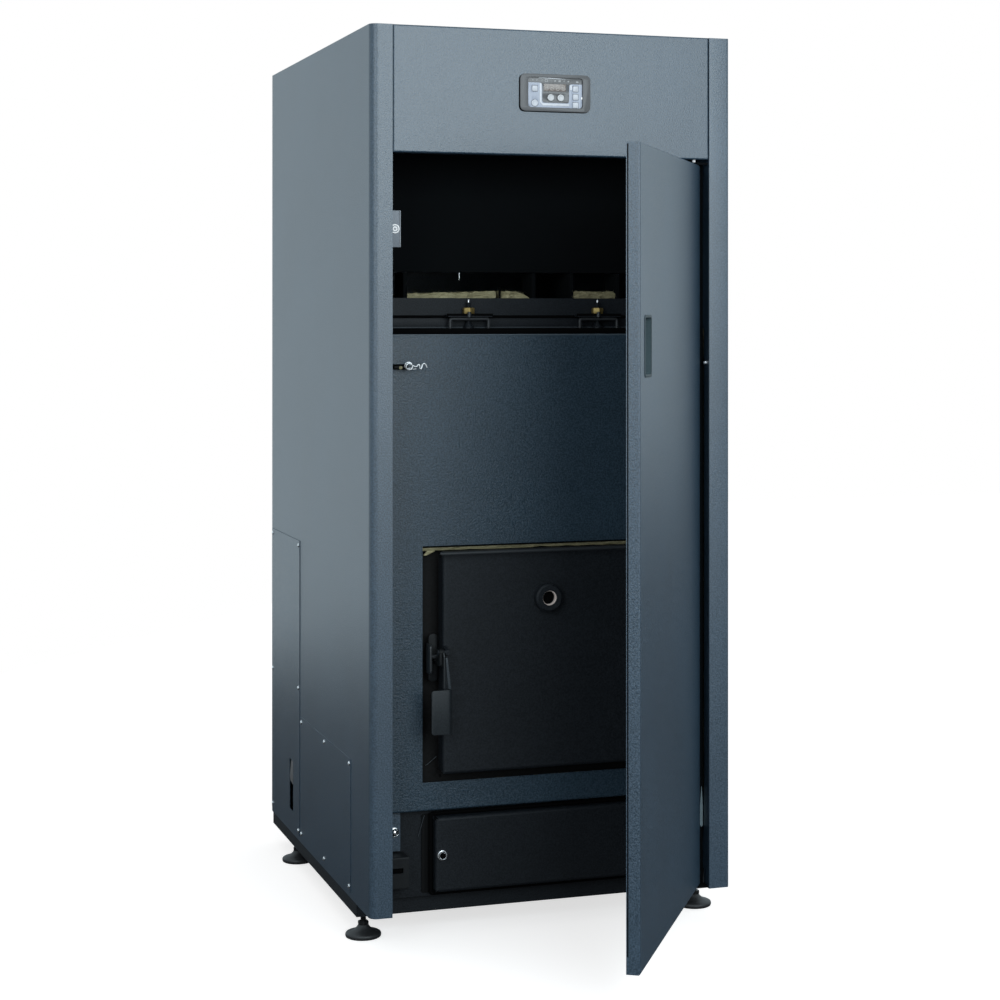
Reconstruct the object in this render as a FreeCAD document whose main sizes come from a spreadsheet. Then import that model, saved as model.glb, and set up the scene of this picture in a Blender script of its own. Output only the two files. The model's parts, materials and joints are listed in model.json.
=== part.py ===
import FreeCAD, Part
import math
import os
from types import SimpleNamespace

import Sketcher

# Driving dimensions in millimetres. X runs to the right, Y from front to back, Z up from the floor.
# A "setback" is measured from the front plane backwards, a "height" from the casing's lower edge.
SIZES = {
    # casing
    "casing_width": 650,
    "casing_depth": 845,
    "casing_height": 1500,
    "casing_clear": 62,
    "sheet": 1.5,
    "flange_width": 38,
    "flange_lip": 24,
    "corner_radius": 14,
    "bend_radius": 3,
    "rear_return": 22,
    "top_return": 18,
    "seat_gap": 0.3,
    "seam_gap": 0.8,
    "fascia_height": 215,
    "fascia_depth": 25,
    "cover_skirt": 12,
    "bay_setback": 145,
    "bay_height": 1087,
    "bay_return": 20,
    # covers on the left side
    "cover_sheet": 1.2,
    "cover_bottom": 10,
    "cover_rim": 24,
    "rear_cover_setback": 570,
    "rear_cover_margin": 5,
    "rear_cover_top": 577,
    "lower_cover_setback": 142,
    "lower_cover_length": 418,
    "lower_cover_top": 241,
    "slot_setback": 629,
    "slot_width": 34,
    "slot_height": 45,
    "slot_length": 98,
    "screw_inset": 9,
    "screw_radius": 4.5,
    "screw_head": 2.2,
    # base frame and feet
    "plinth_setback": 108,
    "plinth_drop": 24,
    "plinth_rise": 6,
    "frame_wall": 3,
    "frame_ledge": 45,
    "boss_radius": 10,
    "foot_inset": 17,
    "foot_front": 122,
    "foot_rear": 668,
    "foot_radius": 31,
    "foot_rim": 5,
    "foot_dome": 7,
    "stem_radius": 6,
    "running_gap": 0.05,
    # outer door
    "door_gap": 14.5,
    "door_top_gap": 9,
    "door_rise": 5,
    "door_depth": 22,
    "door_lip": 15,
    "pivot_inset": 12,
    "pivot_radius": 4,
    "pivot_reach": 16,
    "pivot_plate": 4,
    "door_angle": 58,
    "handle_inset": 62,
    "handle_width": 56,
    "handle_length": 97,
    "handle_height": 963,
    "handle_depth": 16,
    "handle_rim": 3,
    "handle_proud": 1,
    "post_setback": 28,
    "post_return": 45,
    # door catch and brackets behind the left flange
    "catch_setback": 25,
    "catch_width": 20,
    "catch_drop": 97,
    "catch_length": 62,
    "magnet_radius": 8,
    "magnet_proud": 2.5,
    "tab_setback": 88,
    "tab_reach": 74,
    "tab_height": 89,
    "tab_length": 65,
    "bracket_reach": 43,
    "bracket_height": 31,
    "bracket_length": 55,
    "bracket_depth": 40,
    "bracket_wall": 3,
    "bracket_slot_width": 9,
    "bracket_slot_end": 10,
    "bracket_slot_rise": 4.5,
    # bolts at the left tab and at the lip of the right flange
    "bolt_inset": 11,
    "bolt_washer_radius": 8.5,
    "bolt_washer": 1.5,
    "bolt_corner": 7.5,
    "bolt_head": 5.5,
    "lip_bolt_setback": 18,
    "lip_bolt_height": 927,
    "lip_bolt_radius": 3.2,
    "lip_bolt_head": 2.2,
    # inner front panel
    "panel_setback": 75,
    "panel_depth": 20,
    "panel_width": 590,
    "panel_bottom": 157,
    "panel_top": 978,
    "opening_width": 430,
    "opening_bottom": 206,
    "opening_top": 613,
    "wool_peek": 9,
    "tongue_offset": 256,
    "tongue_height": 922,
    "tongue_width": 24,
    "tongue_thick": 3.5,
    "tongue_proud": 13,
    "tongue_slot_margin": 3,
    "clip_radius": 6.3,
    "clip_wire": 1.5,
    "clip_leg": 25,
    # pressure vessel
    "front_plate_width": 600,
    "jacket_width": 524,
    "jacket_depth": 595,
    "jacket_top": 988,
    "jacket_wall": 5,
    "firebox_width": 412,
    "firebox_setback": 130,
    "firebox_depth": 516,
    "firebox_top": 626,
    "firebox_wall": 6,
    "throat_width": 320,
    "throat_bottom": 245,
    "throat_top": 585,
    "tube_radius": 31.75,
    "tube_wall": 3.6,
    "tube_pitch": 92,
    "tube_row_setback": 260,
    "tube_proud": 4,
    "flue_radius": 75,
    "flue_wall": 4,
    "flue_step": 1,
    "flue_height": 900,
    "flue_proud": 80,
    "shaft_width": 190,
    "shaft_depth": 80,
    "shaft_drop": 175,
    "socket_radius": 26,
    "socket_bore": 17,
    "socket_thread": 19.5,
    "thread_length": 40,
    "socket_offset": 200,
    "flow_height": 930,
    "return_height": 200,
    "socket_proud": 25,
    # cleaning cover with its clamps
    "collar_setback": 130,
    "collar_width": 510,
    "collar_depth": 556,
    "collar_bar": 16,
    "collar_height": 20,
    "lid_width": 516,
    "lid_height": 33,
    "lid_wall": 3,
    "rib_top": 1085,
    "rib_wall": 6,
    "rib_length": 60,
    "rib_left": 231,
    "rib_middle": 5,
    "rib_right": 76,
    "rib_end": 164,
    "lid_wool_top": 1055,
    "clamp_offset": 120,
    "clamp_reach": 12,
    "stud_radius": 4,
    "stud_rise": 32,
    "bridge_width": 70,
    "bridge_rod": 3.2,
    "bridge_rise": 19.5,
    "lug_width": 80,
    "lug_reach": 24,
    "lug_wall": 4,
    "nut_flat": 9.5,
    "nut_height": 12,
    # fire door, its frame and latch
    "door_face_setback": 45,
    "fire_door_width": 374,
    "fire_door_bottom": 224,
    "fire_door_top": 604,
    "fire_door_depth": 28,
    "fire_door_wall": 3,
    "fire_notch": 5,
    "fire_bend": 6,
    "frame_bar": 15,
    "frame_depth": 19,
    "board_thick": 20,
    "gasket_width": 12,
    "hinge_gap": 14,
    "hinge_setback": 56,
    "hinge_pin": 5,
    "knuckle_radius": 9,
    "knuckle_height": 26,
    "hinge_low": 280,
    "hinge_high": 520,
    "sight_height": 521,
    "sight_radius": 24,
    "sight_bore": 13,
    "sight_proud": 19,
    "glass_radius": 19,
    "glass_thick": 4,
    "keeper_offset": 197,
    "keeper_width": 16,
    "keeper_bottom": 380,
    "keeper_top": 462,
    "keeper_wall": 4,
    "keeper_pin_setback": 56,
    "keeper_pin_height": 425,
    "keeper_pin_radius": 3.75,
    "latch_setback": 30,
    "latch_height": 436,
    "latch_pin": 4,
    "latch_eye": 9,
    "latch_plate": 5,
    "grip_width": 35,
    "grip_bottom": 300,
    "grip_top": 375,
    "grip_setback": 7,
    "grip_depth": 20,
    "grip_offset": 198,
    # ash box with its door and pan
    "ash_width": 564,
    "ash_bottom": 6,
    "ash_wall": 4,
    "ash_opening_width": 376,
    "ash_opening_bottom": 26,
    "ash_opening_top": 134,
    "ash_door_width": 386,
    "ash_door_bottom": 15,
    "ash_door_top": 145,
    "ash_door_setback": 72,
    "ash_door_depth": 20,
    "ash_hinge_low": 40,
    "ash_hinge_high": 100,
    "lock_offset": 181,
    "lock_height": 80,
    "lock_radius": 8.5,
    "lock_shank": 5,
    "lock_proud": 8,
    "cam_length": 22,
    "cam_width": 8,
    "pan_width": 340,
    "pan_setback": 112,
    "pan_depth": 230,
    "pan_height": 90,
    "pan_wall": 2,
    # burner, feed screw and fan
    "feed_height": 95,
    "feed_radius": 46,
    "feed_wall": 4,
    "pot_setback": 480,
    "pot_radius": 42,
    "pot_rise": 95,
    "pot_flare": 70,
    "pot_mouth": 76,
    "feed_end_setback": 790,
    "inlet_setback": 738,
    "inlet_radius": 38,
    "inlet_rise": 110,
    "screw_shaft": 9,
    "screw_flight": 40,
    "flight_pitch": 70,
    "flight_thick": 5,
    "motor_size": 92,
    "motor_length": 46,
    "fan_offset": 150,
    "fan_radius": 75,
    "fan_depth": 60,
    "fan_motor_radius": 30,
    "fan_motor_length": 55,
    "fan_shaft": 6,
    "fan_wheel": 58,
    "blade_depth": 36,
    "blade_wall": 3,
    # control unit in the fascia
    "control_drop": 107,
    "bezel_width": 127,
    "bezel_height": 64,
    "bezel_proud": 4,
    "bezel_radius": 8,
    "window_width": 101,
    "window_height": 54,
    "window_radius": 4,
    "plate_thick": 3,
    "plate_sink": 1.5,
    "key_proud": 1,
    "key_travel": 0.8,
    "key_gap": 0.3,
    "key_size": 10,
    "key_radius": 6,
    "key_column": 37,
    "key_menu_rise": 7,
    "key_power_drop": 18,
    "key_up_rise": 8,
    "key_ok_drop": 6,
    "key_down_drop": 20,
    "key_minus_offset": 8,
    "key_plus_offset": 10,
    "key_pair_drop": 8,
    "control_depth": 45,
}

doc = FreeCAD.newDocument("PelletBoiler")
sheet = doc.addObject("Spreadsheet::Sheet", "Sizes")
for row, (alias, number) in enumerate(SIZES.items(), start=1):
    sheet.set(f"A{row}", alias)
    sheet.set(f"B{row}", str(number))
    sheet.setAlias(f"B{row}", alias)
doc.recompute()


class Size:
    """A length: its present value, and the sheet expression that drives it."""

    def __init__(self, value, text):
        self.value = value
        self.text = text

    def __add__(self, other):
        other = as_size(other)
        return Size(self.value + other.value, f"({self.text} + {other.text})")

    def __sub__(self, other):
        other = as_size(other)
        return Size(self.value - other.value, f"({self.text} - {other.text})")

    def __mul__(self, factor):
        factor = as_size(factor)
        return Size(self.value * factor.value, f"({self.text} * {factor.text})")

    def __truediv__(self, factor):
        factor = as_size(factor)
        return Size(self.value / factor.value, f"({self.text} / {factor.text})")

    def __neg__(self):
        return Size(-self.value, f"(0 - {self.text})")

    def __radd__(self, other):
        return as_size(other) + self

    def __rsub__(self, other):
        return as_size(other) - self

    def __rmul__(self, factor):
        return as_size(factor) * self


def as_size(number):
    if isinstance(number, Size):
        return number
    text = f"(0 - {-number})" if number < 0 else str(number)
    return Size(float(number), text)


def angle_of(rise, run):
    """The angle in degrees whose tangent is rise over run."""
    value = math.degrees(math.atan2(rise.value, run.value))
    return Size(value, f"atan({rise.text} / {run.text})")


def bind(item, path, size):
    item.setExpression(path, as_size(size).text)


S = SimpleNamespace(**{alias: Size(float(sheet.get(alias)), f"Sizes.{alias}") for alias in SIZES})

# Reference planes of the whole boiler.
front = -S.casing_depth / 2
back = S.casing_depth / 2
base = S.casing_clear
top = base + S.casing_height
half_width = S.casing_width / 2
inside = half_width - S.sheet


def behind(setback):
    return front + setback


def up(height):
    return base + height


# Sketch planes by the axis that a profile is pushed along, with the sign of the plane's normal.
PLANES = {"X": ("YZ_Plane", 1), "Y": ("XZ_Plane", -1), "Z": ("XY_Plane", 1)}


def new_body(label):
    body = doc.addObject("PartDesign::Body", label)
    body.Label = label
    return body


def rect(low_u, high_u, low_v, high_v):
    return [(low_u, low_v), (high_u, low_v), (high_u, high_v), (low_u, high_v)]


def ring(centre_u, centre_v, radius):
    return ("circle", centre_u, centre_v, radius)


def draw_polygon(sketch, points):
    """Draws a closed outline whose corners are each tied to the sheet."""
    points = [(as_size(u), as_size(v)) for u, v in points]
    first = sketch.GeometryCount
    count = len(points)
    corners = [FreeCAD.Vector(u.value, v.value, 0) for u, v in points]
    lines = [Part.LineSegment(corners[i], corners[(i + 1) % count]) for i in range(count)]
    sketch.addGeometry(lines, False)
    joins = []
    for i in range(count):
        following = first + (i + 1) % count
        joins.append(Sketcher.Constraint("Coincident", first + i, 2, following, 1))
    sketch.addConstraint(joins)
    for i, (u, v) in enumerate(points):
        for kind, size in (("DistanceX", u), ("DistanceY", v)):
            index = sketch.addConstraint(Sketcher.Constraint(kind, first + i, 1, size.value))
            bind(sketch, f"Constraints[{index}]", size)


def draw_circle(sketch, centre_u, centre_v, radius):
    centre_u, centre_v, radius = as_size(centre_u), as_size(centre_v), as_size(radius)
    centre = FreeCAD.Vector(centre_u.value, centre_v.value, 0)
    index = sketch.addGeometry(Part.Circle(centre, FreeCAD.Vector(0, 0, 1), radius.value), False)
    places = (("DistanceX", 3, centre_u), ("DistanceY", 3, centre_v))
    for kind, point, size in places:
        constraint = sketch.addConstraint(Sketcher.Constraint(kind, index, point, size.value))
        bind(sketch, f"Constraints[{constraint}]", size)
    constraint = sketch.addConstraint(Sketcher.Constraint("Radius", index, radius.value))
    bind(sketch, f"Constraints[{constraint}]", radius)


def new_sketch(body, axis, start, loops):
    """A sketch square to the axis, at the place start along it."""
    role, sign = PLANES[axis]
    sketch = body.newObject("Sketcher::SketchObject", "Profile")
    plane = next(feature for feature in body.Origin.OriginFeatures if feature.Role == role)
    sketch.AttachmentSupport = (plane, [""])
    sketch.MapMode = "FlatFace"
    offset = as_size(start) * sign
    sketch.AttachmentOffset = FreeCAD.Placement(FreeCAD.Vector(0, 0, offset.value), FreeCAD.Rotation())
    bind(sketch, "AttachmentOffset.Base.z", offset)
    for loop in loops:
        if loop[0] == "circle":
            draw_circle(sketch, *loop[1:])
        else:
            draw_polygon(sketch, loop)
    return sketch


def add(body, axis, start, length, *loops, taper=None):
    """Pads the loops from start towards the positive end of the axis."""
    pad = body.newObject("PartDesign::Pad", "Pad")
    pad.Profile = new_sketch(body, axis, start, loops)
    pad.Reversed = axis == "Y"
    bind(pad, "Length", length)
    if taper is not None:
        bind(pad, "TaperAngle", taper)
    return pad


def cut(body, axis, start, length, *loops, taper=None):
    """Pockets the loops from start towards the positive end of the axis."""
    pocket = body.newObject("PartDesign::Pocket", "Pocket")
    pocket.Profile = new_sketch(body, axis, start, loops)
    pocket.Reversed = axis != "Y"
    bind(pocket, "Length", length)
    if taper is not None:
        bind(pocket, "TaperAngle", taper)
    return pocket


def tube(body, axis, start, length, centre_u, centre_v, radius):
    return add(body, axis, start, length, ring(centre_u, centre_v, radius))


def bore(body, axis, start, length, centre_u, centre_v, radius):
    return cut(body, axis, start, length, ring(centre_u, centre_v, radius))


AXES = {
    "X": FreeCAD.Vector(1, 0, 0),
    "Y": FreeCAD.Vector(0, 1, 0),
    "Z": FreeCAD.Vector(0, 0, 1),
}
NEAR = 0.05


def along(edge, axis):
    """True for a straight edge parallel to the axis."""
    if len(edge.Vertexes) != 2 or edge.Curve.TypeId != "Part::GeomLine":
        return False
    direction = (edge.Vertexes[1].Point - edge.Vertexes[0].Point).normalize()
    return abs(direction.dot(AXES[axis])) > 0.999


def passes(edge, **place):
    """True where the edge's middle lies at the given coordinates."""
    middle = edge.CenterOfMass
    return all(abs(getattr(middle, name) - as_size(size).value) < NEAR for name, size in place.items())


def round_edges(body, radius, keep):
    """Fillets the edges of the body so far for which keep holds."""
    doc.recompute()
    tip = body.Tip
    names = [f"Edge{i}" for i, edge in enumerate(tip.Shape.Edges, start=1) if keep(edge)]
    fillet = body.newObject("PartDesign::Fillet", "Fillet")
    fillet.Base = (tip, names)
    bind(fillet, "Radius", radius)
    return fillet


def on_outline(edge, depth, low_u, high_u, low_v, high_v):
    """True for an edge of the upright rectangle at the given depth."""
    level = along(edge, "X") and (passes(edge, y=depth, z=low_v) or passes(edge, y=depth, z=high_v))
    upright = along(edge, "Z") and (passes(edge, y=depth, x=low_u) or passes(edge, y=depth, x=high_u))
    return level or upright


def bend_rim(body, face, wall, radius, low_u, high_u, low_v, high_v):
    """Rounds the folds of a pan whose floor is at face, outside and inside."""
    outer = (face, low_u, high_u, low_v, high_v)
    inner = (face + wall, low_u + wall, high_u - wall, low_v + wall, high_v - wall)
    round_edges(body, radius, lambda e: on_outline(e, *outer))
    round_edges(body, radius - wall, lambda e: on_outline(e, *inner))


def place(body, x, y, z, axis="Z", angle=0):
    """Moves a sub-part drawn about its own origin to its place."""
    spot = FreeCAD.Vector(as_size(x).value, as_size(y).value, as_size(z).value)
    body.Placement = FreeCAD.Placement(spot, FreeCAD.Rotation(AXES[axis], as_size(angle).value))
    bind(body, "Placement.Base.x", x)
    bind(body, "Placement.Base.y", y)
    bind(body, "Placement.Base.z", z)
    if isinstance(angle, Size):
        bind(body, "Placement.Rotation.Angle", angle)


def turned(label, profile):
    """A body turned about its own Z axis from a profile of (radius, height) corners."""
    body = new_body(label)
    sketch = new_sketch(body, "Y", 0, [profile])
    turn = body.newObject("PartDesign::Revolution", "Turn")
    turn.Profile = sketch
    turn.ReferenceAxis = (sketch, ["V_Axis"])
    turn.Angle = 360
    return body


def tray(body, axis, start, depth, low_u, high_u, low_v, high_v, wall, floor_first=True):
    """A pan folded from sheet: a floor of one wall, and four sides as high as depth."""
    add(body, axis, start, depth, rect(low_u, high_u, low_v, high_v))
    hollow_start = start + wall if floor_first else start
    hollow = rect(low_u + wall, high_u - wall, low_v + wall, high_v - wall)
    cut(body, axis, hollow_start, depth - wall, hollow)


def group(label, members):
    """Several separate solids of one kind in one sub-part."""
    compound = doc.addObject("Part::Compound", label)
    compound.Label = label
    compound.Links = members
    return compound


parts = []


# Casing: two folded side panels, the front fascia, the top and the back

def make_side_panel(label, side):
    body = new_body(label)
    outer = side * half_width
    inner = side * inside
    edge = side * (half_width - S.flange_width)
    edge_inner = side * (half_width - S.flange_width + S.sheet)
    fold = side * (half_width - S.rear_return)
    section = [
        (outer, back),
        (outer, front),
        (edge, front),
        (edge, behind(S.flange_lip)),
        (edge_inner, behind(S.flange_lip)),
        (edge_inner, behind(S.sheet)),
        (inner, behind(S.sheet)),
        (inner, back - S.sheet),
        (fold, back - S.sheet),
        (fold, back),
    ]
    add(body, "Z", base, S.casing_height, section)
    cap = [(outer, front), (edge, front), (edge, behind(S.flange_lip)), (outer, behind(S.flange_lip))]
    add(body, "Z", top - S.sheet, S.sheet, cap)
    round_edges(body, S.corner_radius, lambda e: along(e, "Z") and passes(e, x=outer, y=front))
    inner_corner = S.corner_radius - S.sheet
    round_edges(body, inner_corner, lambda e: along(e, "Z") and passes(e, x=inner, y=behind(S.sheet)))
    ledge_start = behind(S.flange_lip + S.seat_gap)
    ledge = [
        (inner, top - S.sheet * 2),
        (side * (inside - S.top_return), top - S.sheet * 2),
        (side * (inside - S.top_return), top - S.sheet),
        (inner, top - S.sheet),
    ]
    add(body, "Y", ledge_start, back - S.sheet - ledge_start, ledge)
    tab = [
        (inner, up(S.tab_height)),
        (side * (half_width - S.tab_reach), up(S.tab_height)),
        (side * (half_width - S.tab_reach), up(S.tab_height + S.tab_length)),
        (inner, up(S.tab_height + S.tab_length)),
    ]
    add(body, "Y", behind(S.tab_setback), S.sheet, tab)
    return body


lower_cover_end = S.lower_cover_setback + S.lower_cover_length
rear_cover_end = S.casing_depth - S.rear_cover_margin
left_side_panel = make_side_panel("left_side_panel", -1)
for first, last, height in (
    (S.rear_cover_setback, rear_cover_end, S.rear_cover_top),
    (S.lower_cover_setback, lower_cover_end, S.lower_cover_top),
):
    window = rect(
        behind(first + S.cover_rim),
        behind(last - S.cover_rim),
        up(S.cover_bottom + S.cover_rim),
        up(height - S.cover_rim),
    )
    cut(left_side_panel, "X", -half_width, S.sheet, window)
parts.append(left_side_panel)
parts.append(make_side_panel("right_side_panel", 1))

fascia_half = half_width - S.flange_width - S.seam_gap
fascia_bottom = top - S.fascia_height
control_centre = top - S.control_drop
box_half = S.window_width / 2 + S.sheet * 2
box_rise = S.window_height / 2 + S.sheet
front_fascia = new_body("front_fascia")
tray(front_fascia, "Y", front, S.fascia_depth, -fascia_half, fascia_half, fascia_bottom, top, S.sheet)
bend_rim(front_fascia, front, S.sheet, S.bend_radius, -fascia_half, fascia_half, fascia_bottom, top)
control_hole = rect(
    -(box_half + S.seat_gap),
    box_half + S.seat_gap,
    control_centre - box_rise - S.seat_gap,
    control_centre + box_rise + S.seat_gap,
)
cut(front_fascia, "Y", front, S.sheet, control_hole)
parts.append(front_fascia)

cover_half = inside - S.seat_gap
cover_front = behind(S.fascia_depth + S.seat_gap)
cover_back = back - S.sheet - S.seat_gap
skirt_half = inside - S.top_return - S.seat_gap
skirt_front = cover_front + S.sheet
skirt_back = cover_back - S.sheet * 2
top_cover = new_body("top_cover")
add(top_cover, "Z", top - S.sheet, S.sheet, rect(-cover_half, cover_half, cover_front, cover_back))
skirt_outer = rect(-skirt_half, skirt_half, skirt_front, skirt_back)
skirt_inner = rect(
    -(skirt_half - S.sheet),
    skirt_half - S.sheet,
    skirt_front + S.sheet,
    skirt_back - S.sheet,
)
add(top_cover, "Z", top - S.sheet - S.cover_skirt, S.cover_skirt, skirt_outer, skirt_inner)
parts.append(top_cover)

flue_centre = up(S.flue_height)
socket_places = ((-S.socket_offset, up(S.flow_height)), (-S.socket_offset, up(S.return_height)))
back_panel = new_body("back_panel")
panel_holes = [ring(x, z, S.socket_radius + S.seat_gap) for x, z in socket_places]
flue_hole = ring(0, flue_centre, S.flue_radius - S.flue_step + S.seat_gap)
panel_holes.append(flue_hole)
back_sheet = rect(-(inside - S.seat_gap), inside - S.seat_gap, base, top - S.sheet * 2)
add(back_panel, "Y", back - S.sheet * 2, S.sheet, back_sheet, *panel_holes)
parts.append(back_panel)

bay_panel = new_body("bay_panel")
bay_half = inside - S.seat_gap
bay_section = [
    (-bay_half, behind(S.bay_setback)),
    (bay_half, behind(S.bay_setback)),
    (bay_half, behind(S.bay_setback + S.bay_return)),
    (bay_half - S.sheet, behind(S.bay_setback + S.bay_return)),
    (bay_half - S.sheet, behind(S.bay_setback + S.sheet)),
    (-(bay_half - S.sheet), behind(S.bay_setback + S.sheet)),
    (-(bay_half - S.sheet), behind(S.bay_setback + S.bay_return)),
    (-bay_half, behind(S.bay_setback + S.bay_return)),
]
bay_rise = top - S.sheet * 2 - S.cover_skirt - up(S.bay_height)
add(bay_panel, "Z", up(S.bay_height), bay_rise, bay_section)
parts.append(bay_panel)

# Screwed covers on the left side, with their screws

cover_face = -half_width - S.cover_sheet
left_rear_cover = new_body("left_rear_cover")
rear_sheet = rect(
    behind(S.rear_cover_setback),
    behind(rear_cover_end),
    up(S.cover_bottom),
    up(S.rear_cover_top),
)
cable_slot = rect(
    behind(S.slot_setback),
    behind(S.slot_setback + S.slot_width),
    up(S.slot_height),
    up(S.slot_height + S.slot_length),
)
add(left_rear_cover, "X", cover_face, S.cover_sheet, rear_sheet, cable_slot)
parts.append(left_rear_cover)

left_lower_cover = new_body("left_lower_cover")
lower_sheet = rect(
    behind(S.lower_cover_setback),
    behind(lower_cover_end),
    up(S.cover_bottom),
    up(S.lower_cover_top),
)
add(left_lower_cover, "X", cover_face, S.cover_sheet, lower_sheet)
parts.append(left_lower_cover)


def make_screw(setback, height):
    screw = doc.addObject("Part::Cylinder", "Screw")
    screw.Placement = FreeCAD.Placement(FreeCAD.Vector(), FreeCAD.Rotation(AXES["Y"], 90))
    bind(screw, "Radius", S.screw_radius)
    bind(screw, "Height", S.screw_head)
    bind(screw, "Placement.Base.x", cover_face - S.screw_head)
    bind(screw, "Placement.Base.y", behind(setback))
    bind(screw, "Placement.Base.z", up(height))
    return screw


screw_low = S.cover_bottom + S.screw_inset
rear_columns = (S.rear_cover_setback + S.screw_inset, rear_cover_end - S.screw_inset)
rear_rows = (screw_low, (S.cover_bottom + S.rear_cover_top) / 2, S.rear_cover_top - S.screw_inset)
lower_columns = (
    S.lower_cover_setback + S.screw_inset,
    S.lower_cover_setback + S.lower_cover_length / 2,
    lower_cover_end - S.screw_inset,
)
lower_rows = (screw_low, S.lower_cover_top - S.screw_inset)
screws = [make_screw(setback, height) for setback in rear_columns for height in rear_rows]
screws += [make_screw(setback, height) for setback in lower_columns for height in lower_rows]
parts.append(group("cover_screws", screws))

# Base frame on four levelling feet

frame_half = inside - S.seat_gap
frame_front = behind(S.plinth_setback)
frame_back = back - S.sheet * 2 - S.seat_gap
frame_low = base - S.plinth_drop
frame_high = base + S.plinth_rise
foot_x = half_width - S.foot_inset
foot_places = {
    "foot_front_left": (-foot_x, behind(S.foot_front)),
    "foot_front_right": (foot_x, behind(S.foot_front)),
    "foot_rear_left": (-foot_x, behind(S.foot_rear)),
    "foot_rear_right": (foot_x, behind(S.foot_rear)),
}
base_frame = new_body("base_frame")
frame_outline = rect(-frame_half, frame_half, frame_front, frame_back)


def inset_outline(amount):
    return rect(
        -(frame_half - amount),
        frame_half - amount,
        frame_front + amount,
        frame_back - amount,
    )


add(base_frame, "Z", frame_high - S.frame_wall, S.frame_wall, frame_outline, inset_outline(S.frame_ledge))
wall_height = frame_high - frame_low
add(base_frame, "Z", frame_low, wall_height, frame_outline, inset_outline(S.frame_wall))
for x, y in foot_places.values():
    tube(base_frame, "Z", frame_low, wall_height, x, y, S.boss_radius)
for x, y in foot_places.values():
    bore(base_frame, "Z", frame_low, wall_height, x, y, S.stem_radius + S.running_gap)
parts.append(base_frame)

for label, (x, y) in foot_places.items():
    stem_top = frame_high - S.frame_wall
    foot = turned(
        label,
        [
            (0, 0),
            (S.foot_radius, 0),
            (S.foot_radius, S.foot_rim),
            (S.stem_radius, S.foot_rim + S.foot_dome),
            (S.stem_radius, stem_top),
            (0, stem_top),
        ],
    )
    place(foot, x, y, 0)
    parts.append(foot)

# Outer door with its recessed pull, hung on two pivots of a post behind the right flange

pivot_x = half_width - S.flange_width - S.door_gap - S.pivot_inset
pivot_y = front + S.door_depth / 2
door_bottom = up(S.door_rise)
door_top = fascia_bottom - S.door_top_gap
door_free_x = -(half_width - S.flange_width - S.door_gap) - pivot_x
door_hinge_x = S.pivot_inset
door_face = -S.door_depth / 2
door_skin = new_body("door_skin")
add(door_skin, "Y", door_face, S.door_depth, rect(door_free_x, door_hinge_x, door_bottom, door_top))
door_hollow = rect(
    door_free_x + S.sheet,
    door_hinge_x - S.sheet,
    door_bottom + S.sheet,
    door_top - S.sheet,
)
cut(door_skin, "Y", door_face + S.sheet, S.door_depth - S.sheet * 2, door_hollow)
bend_rim(door_skin, door_face, S.sheet, S.bend_radius, door_free_x, door_hinge_x, door_bottom, door_top)
door_mouth = rect(
    door_free_x + S.door_lip,
    door_hinge_x - S.door_lip * 2,
    door_bottom + S.door_lip,
    door_top - S.door_lip,
)
cut(door_skin, "Y", S.door_depth / 2 - S.sheet, S.sheet, door_mouth)
pivot_hole = S.pivot_radius + S.running_gap
bore(door_skin, "Z", door_bottom, S.sheet, 0, 0, pivot_hole)
bore(door_skin, "Z", door_top - S.sheet, S.sheet, 0, 0, pivot_hole)
handle_x = door_free_x + S.handle_inset
handle_z = up(S.handle_height)


def handle_outline(margin):
    return rect(
        handle_x - S.handle_width / 2 + margin,
        handle_x + S.handle_width / 2 - margin,
        handle_z - S.handle_length / 2 + margin,
        handle_z + S.handle_length / 2 - margin,
    )


cut(door_skin, "Y", door_face, S.sheet, handle_outline(S.handle_rim - S.seat_gap))
place(door_skin, pivot_x, pivot_y, 0, angle=S.door_angle)
parts.append(door_skin)

pull_handle = new_body("pull_handle")
add(pull_handle, "Y", door_face - S.handle_proud, S.handle_proud, handle_outline(0))
add(pull_handle, "Y", door_face, S.handle_depth, handle_outline(S.handle_rim))
cup = handle_outline(S.handle_rim + S.sheet)
cut(pull_handle, "Y", door_face - S.handle_proud, S.handle_proud + S.handle_depth - S.sheet, cup)
place(pull_handle, pivot_x, pivot_y, 0, angle=S.door_angle)
parts.append(pull_handle)

post_edge = half_width - S.flange_width - S.seat_gap
post_inner = pivot_x + S.pivot_inset + S.sheet
hinge_post = new_body("hinge_post")
post_section = [
    (post_inner, behind(S.post_setback)),
    (post_edge, behind(S.post_setback)),
    (post_edge, behind(S.post_setback + S.post_return)),
    (post_edge - S.frame_wall, behind(S.post_setback + S.post_return)),
    (post_edge - S.frame_wall, behind(S.post_setback) + S.frame_wall),
    (post_inner, behind(S.post_setback) + S.frame_wall),
]
lug_top = door_top + S.seat_gap
lug_low = door_bottom - S.seat_gap - S.pivot_plate
add(hinge_post, "Z", lug_low, lug_top + S.pivot_plate - lug_low, post_section)
lug_end = behind(S.post_setback) + S.frame_wall
pivot_lug = rect(pivot_x - S.pivot_inset, post_edge, pivot_y - S.pivot_inset / 2, lug_end)
for low in (lug_top, lug_low):
    add(hinge_post, "Z", low, S.pivot_plate, pivot_lug)
upper_pin = lug_top - door_top + S.pivot_reach
tube(hinge_post, "Z", door_top - S.pivot_reach, upper_pin, pivot_x, pivot_y, S.pivot_radius)
pin_start = lug_low + S.pivot_plate
tube(hinge_post, "Z", pin_start, door_bottom + S.pivot_reach - pin_start, pivot_x, pivot_y, S.pivot_radius)
parts.append(hinge_post)

# Door catch and bracket behind the left flange

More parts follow.
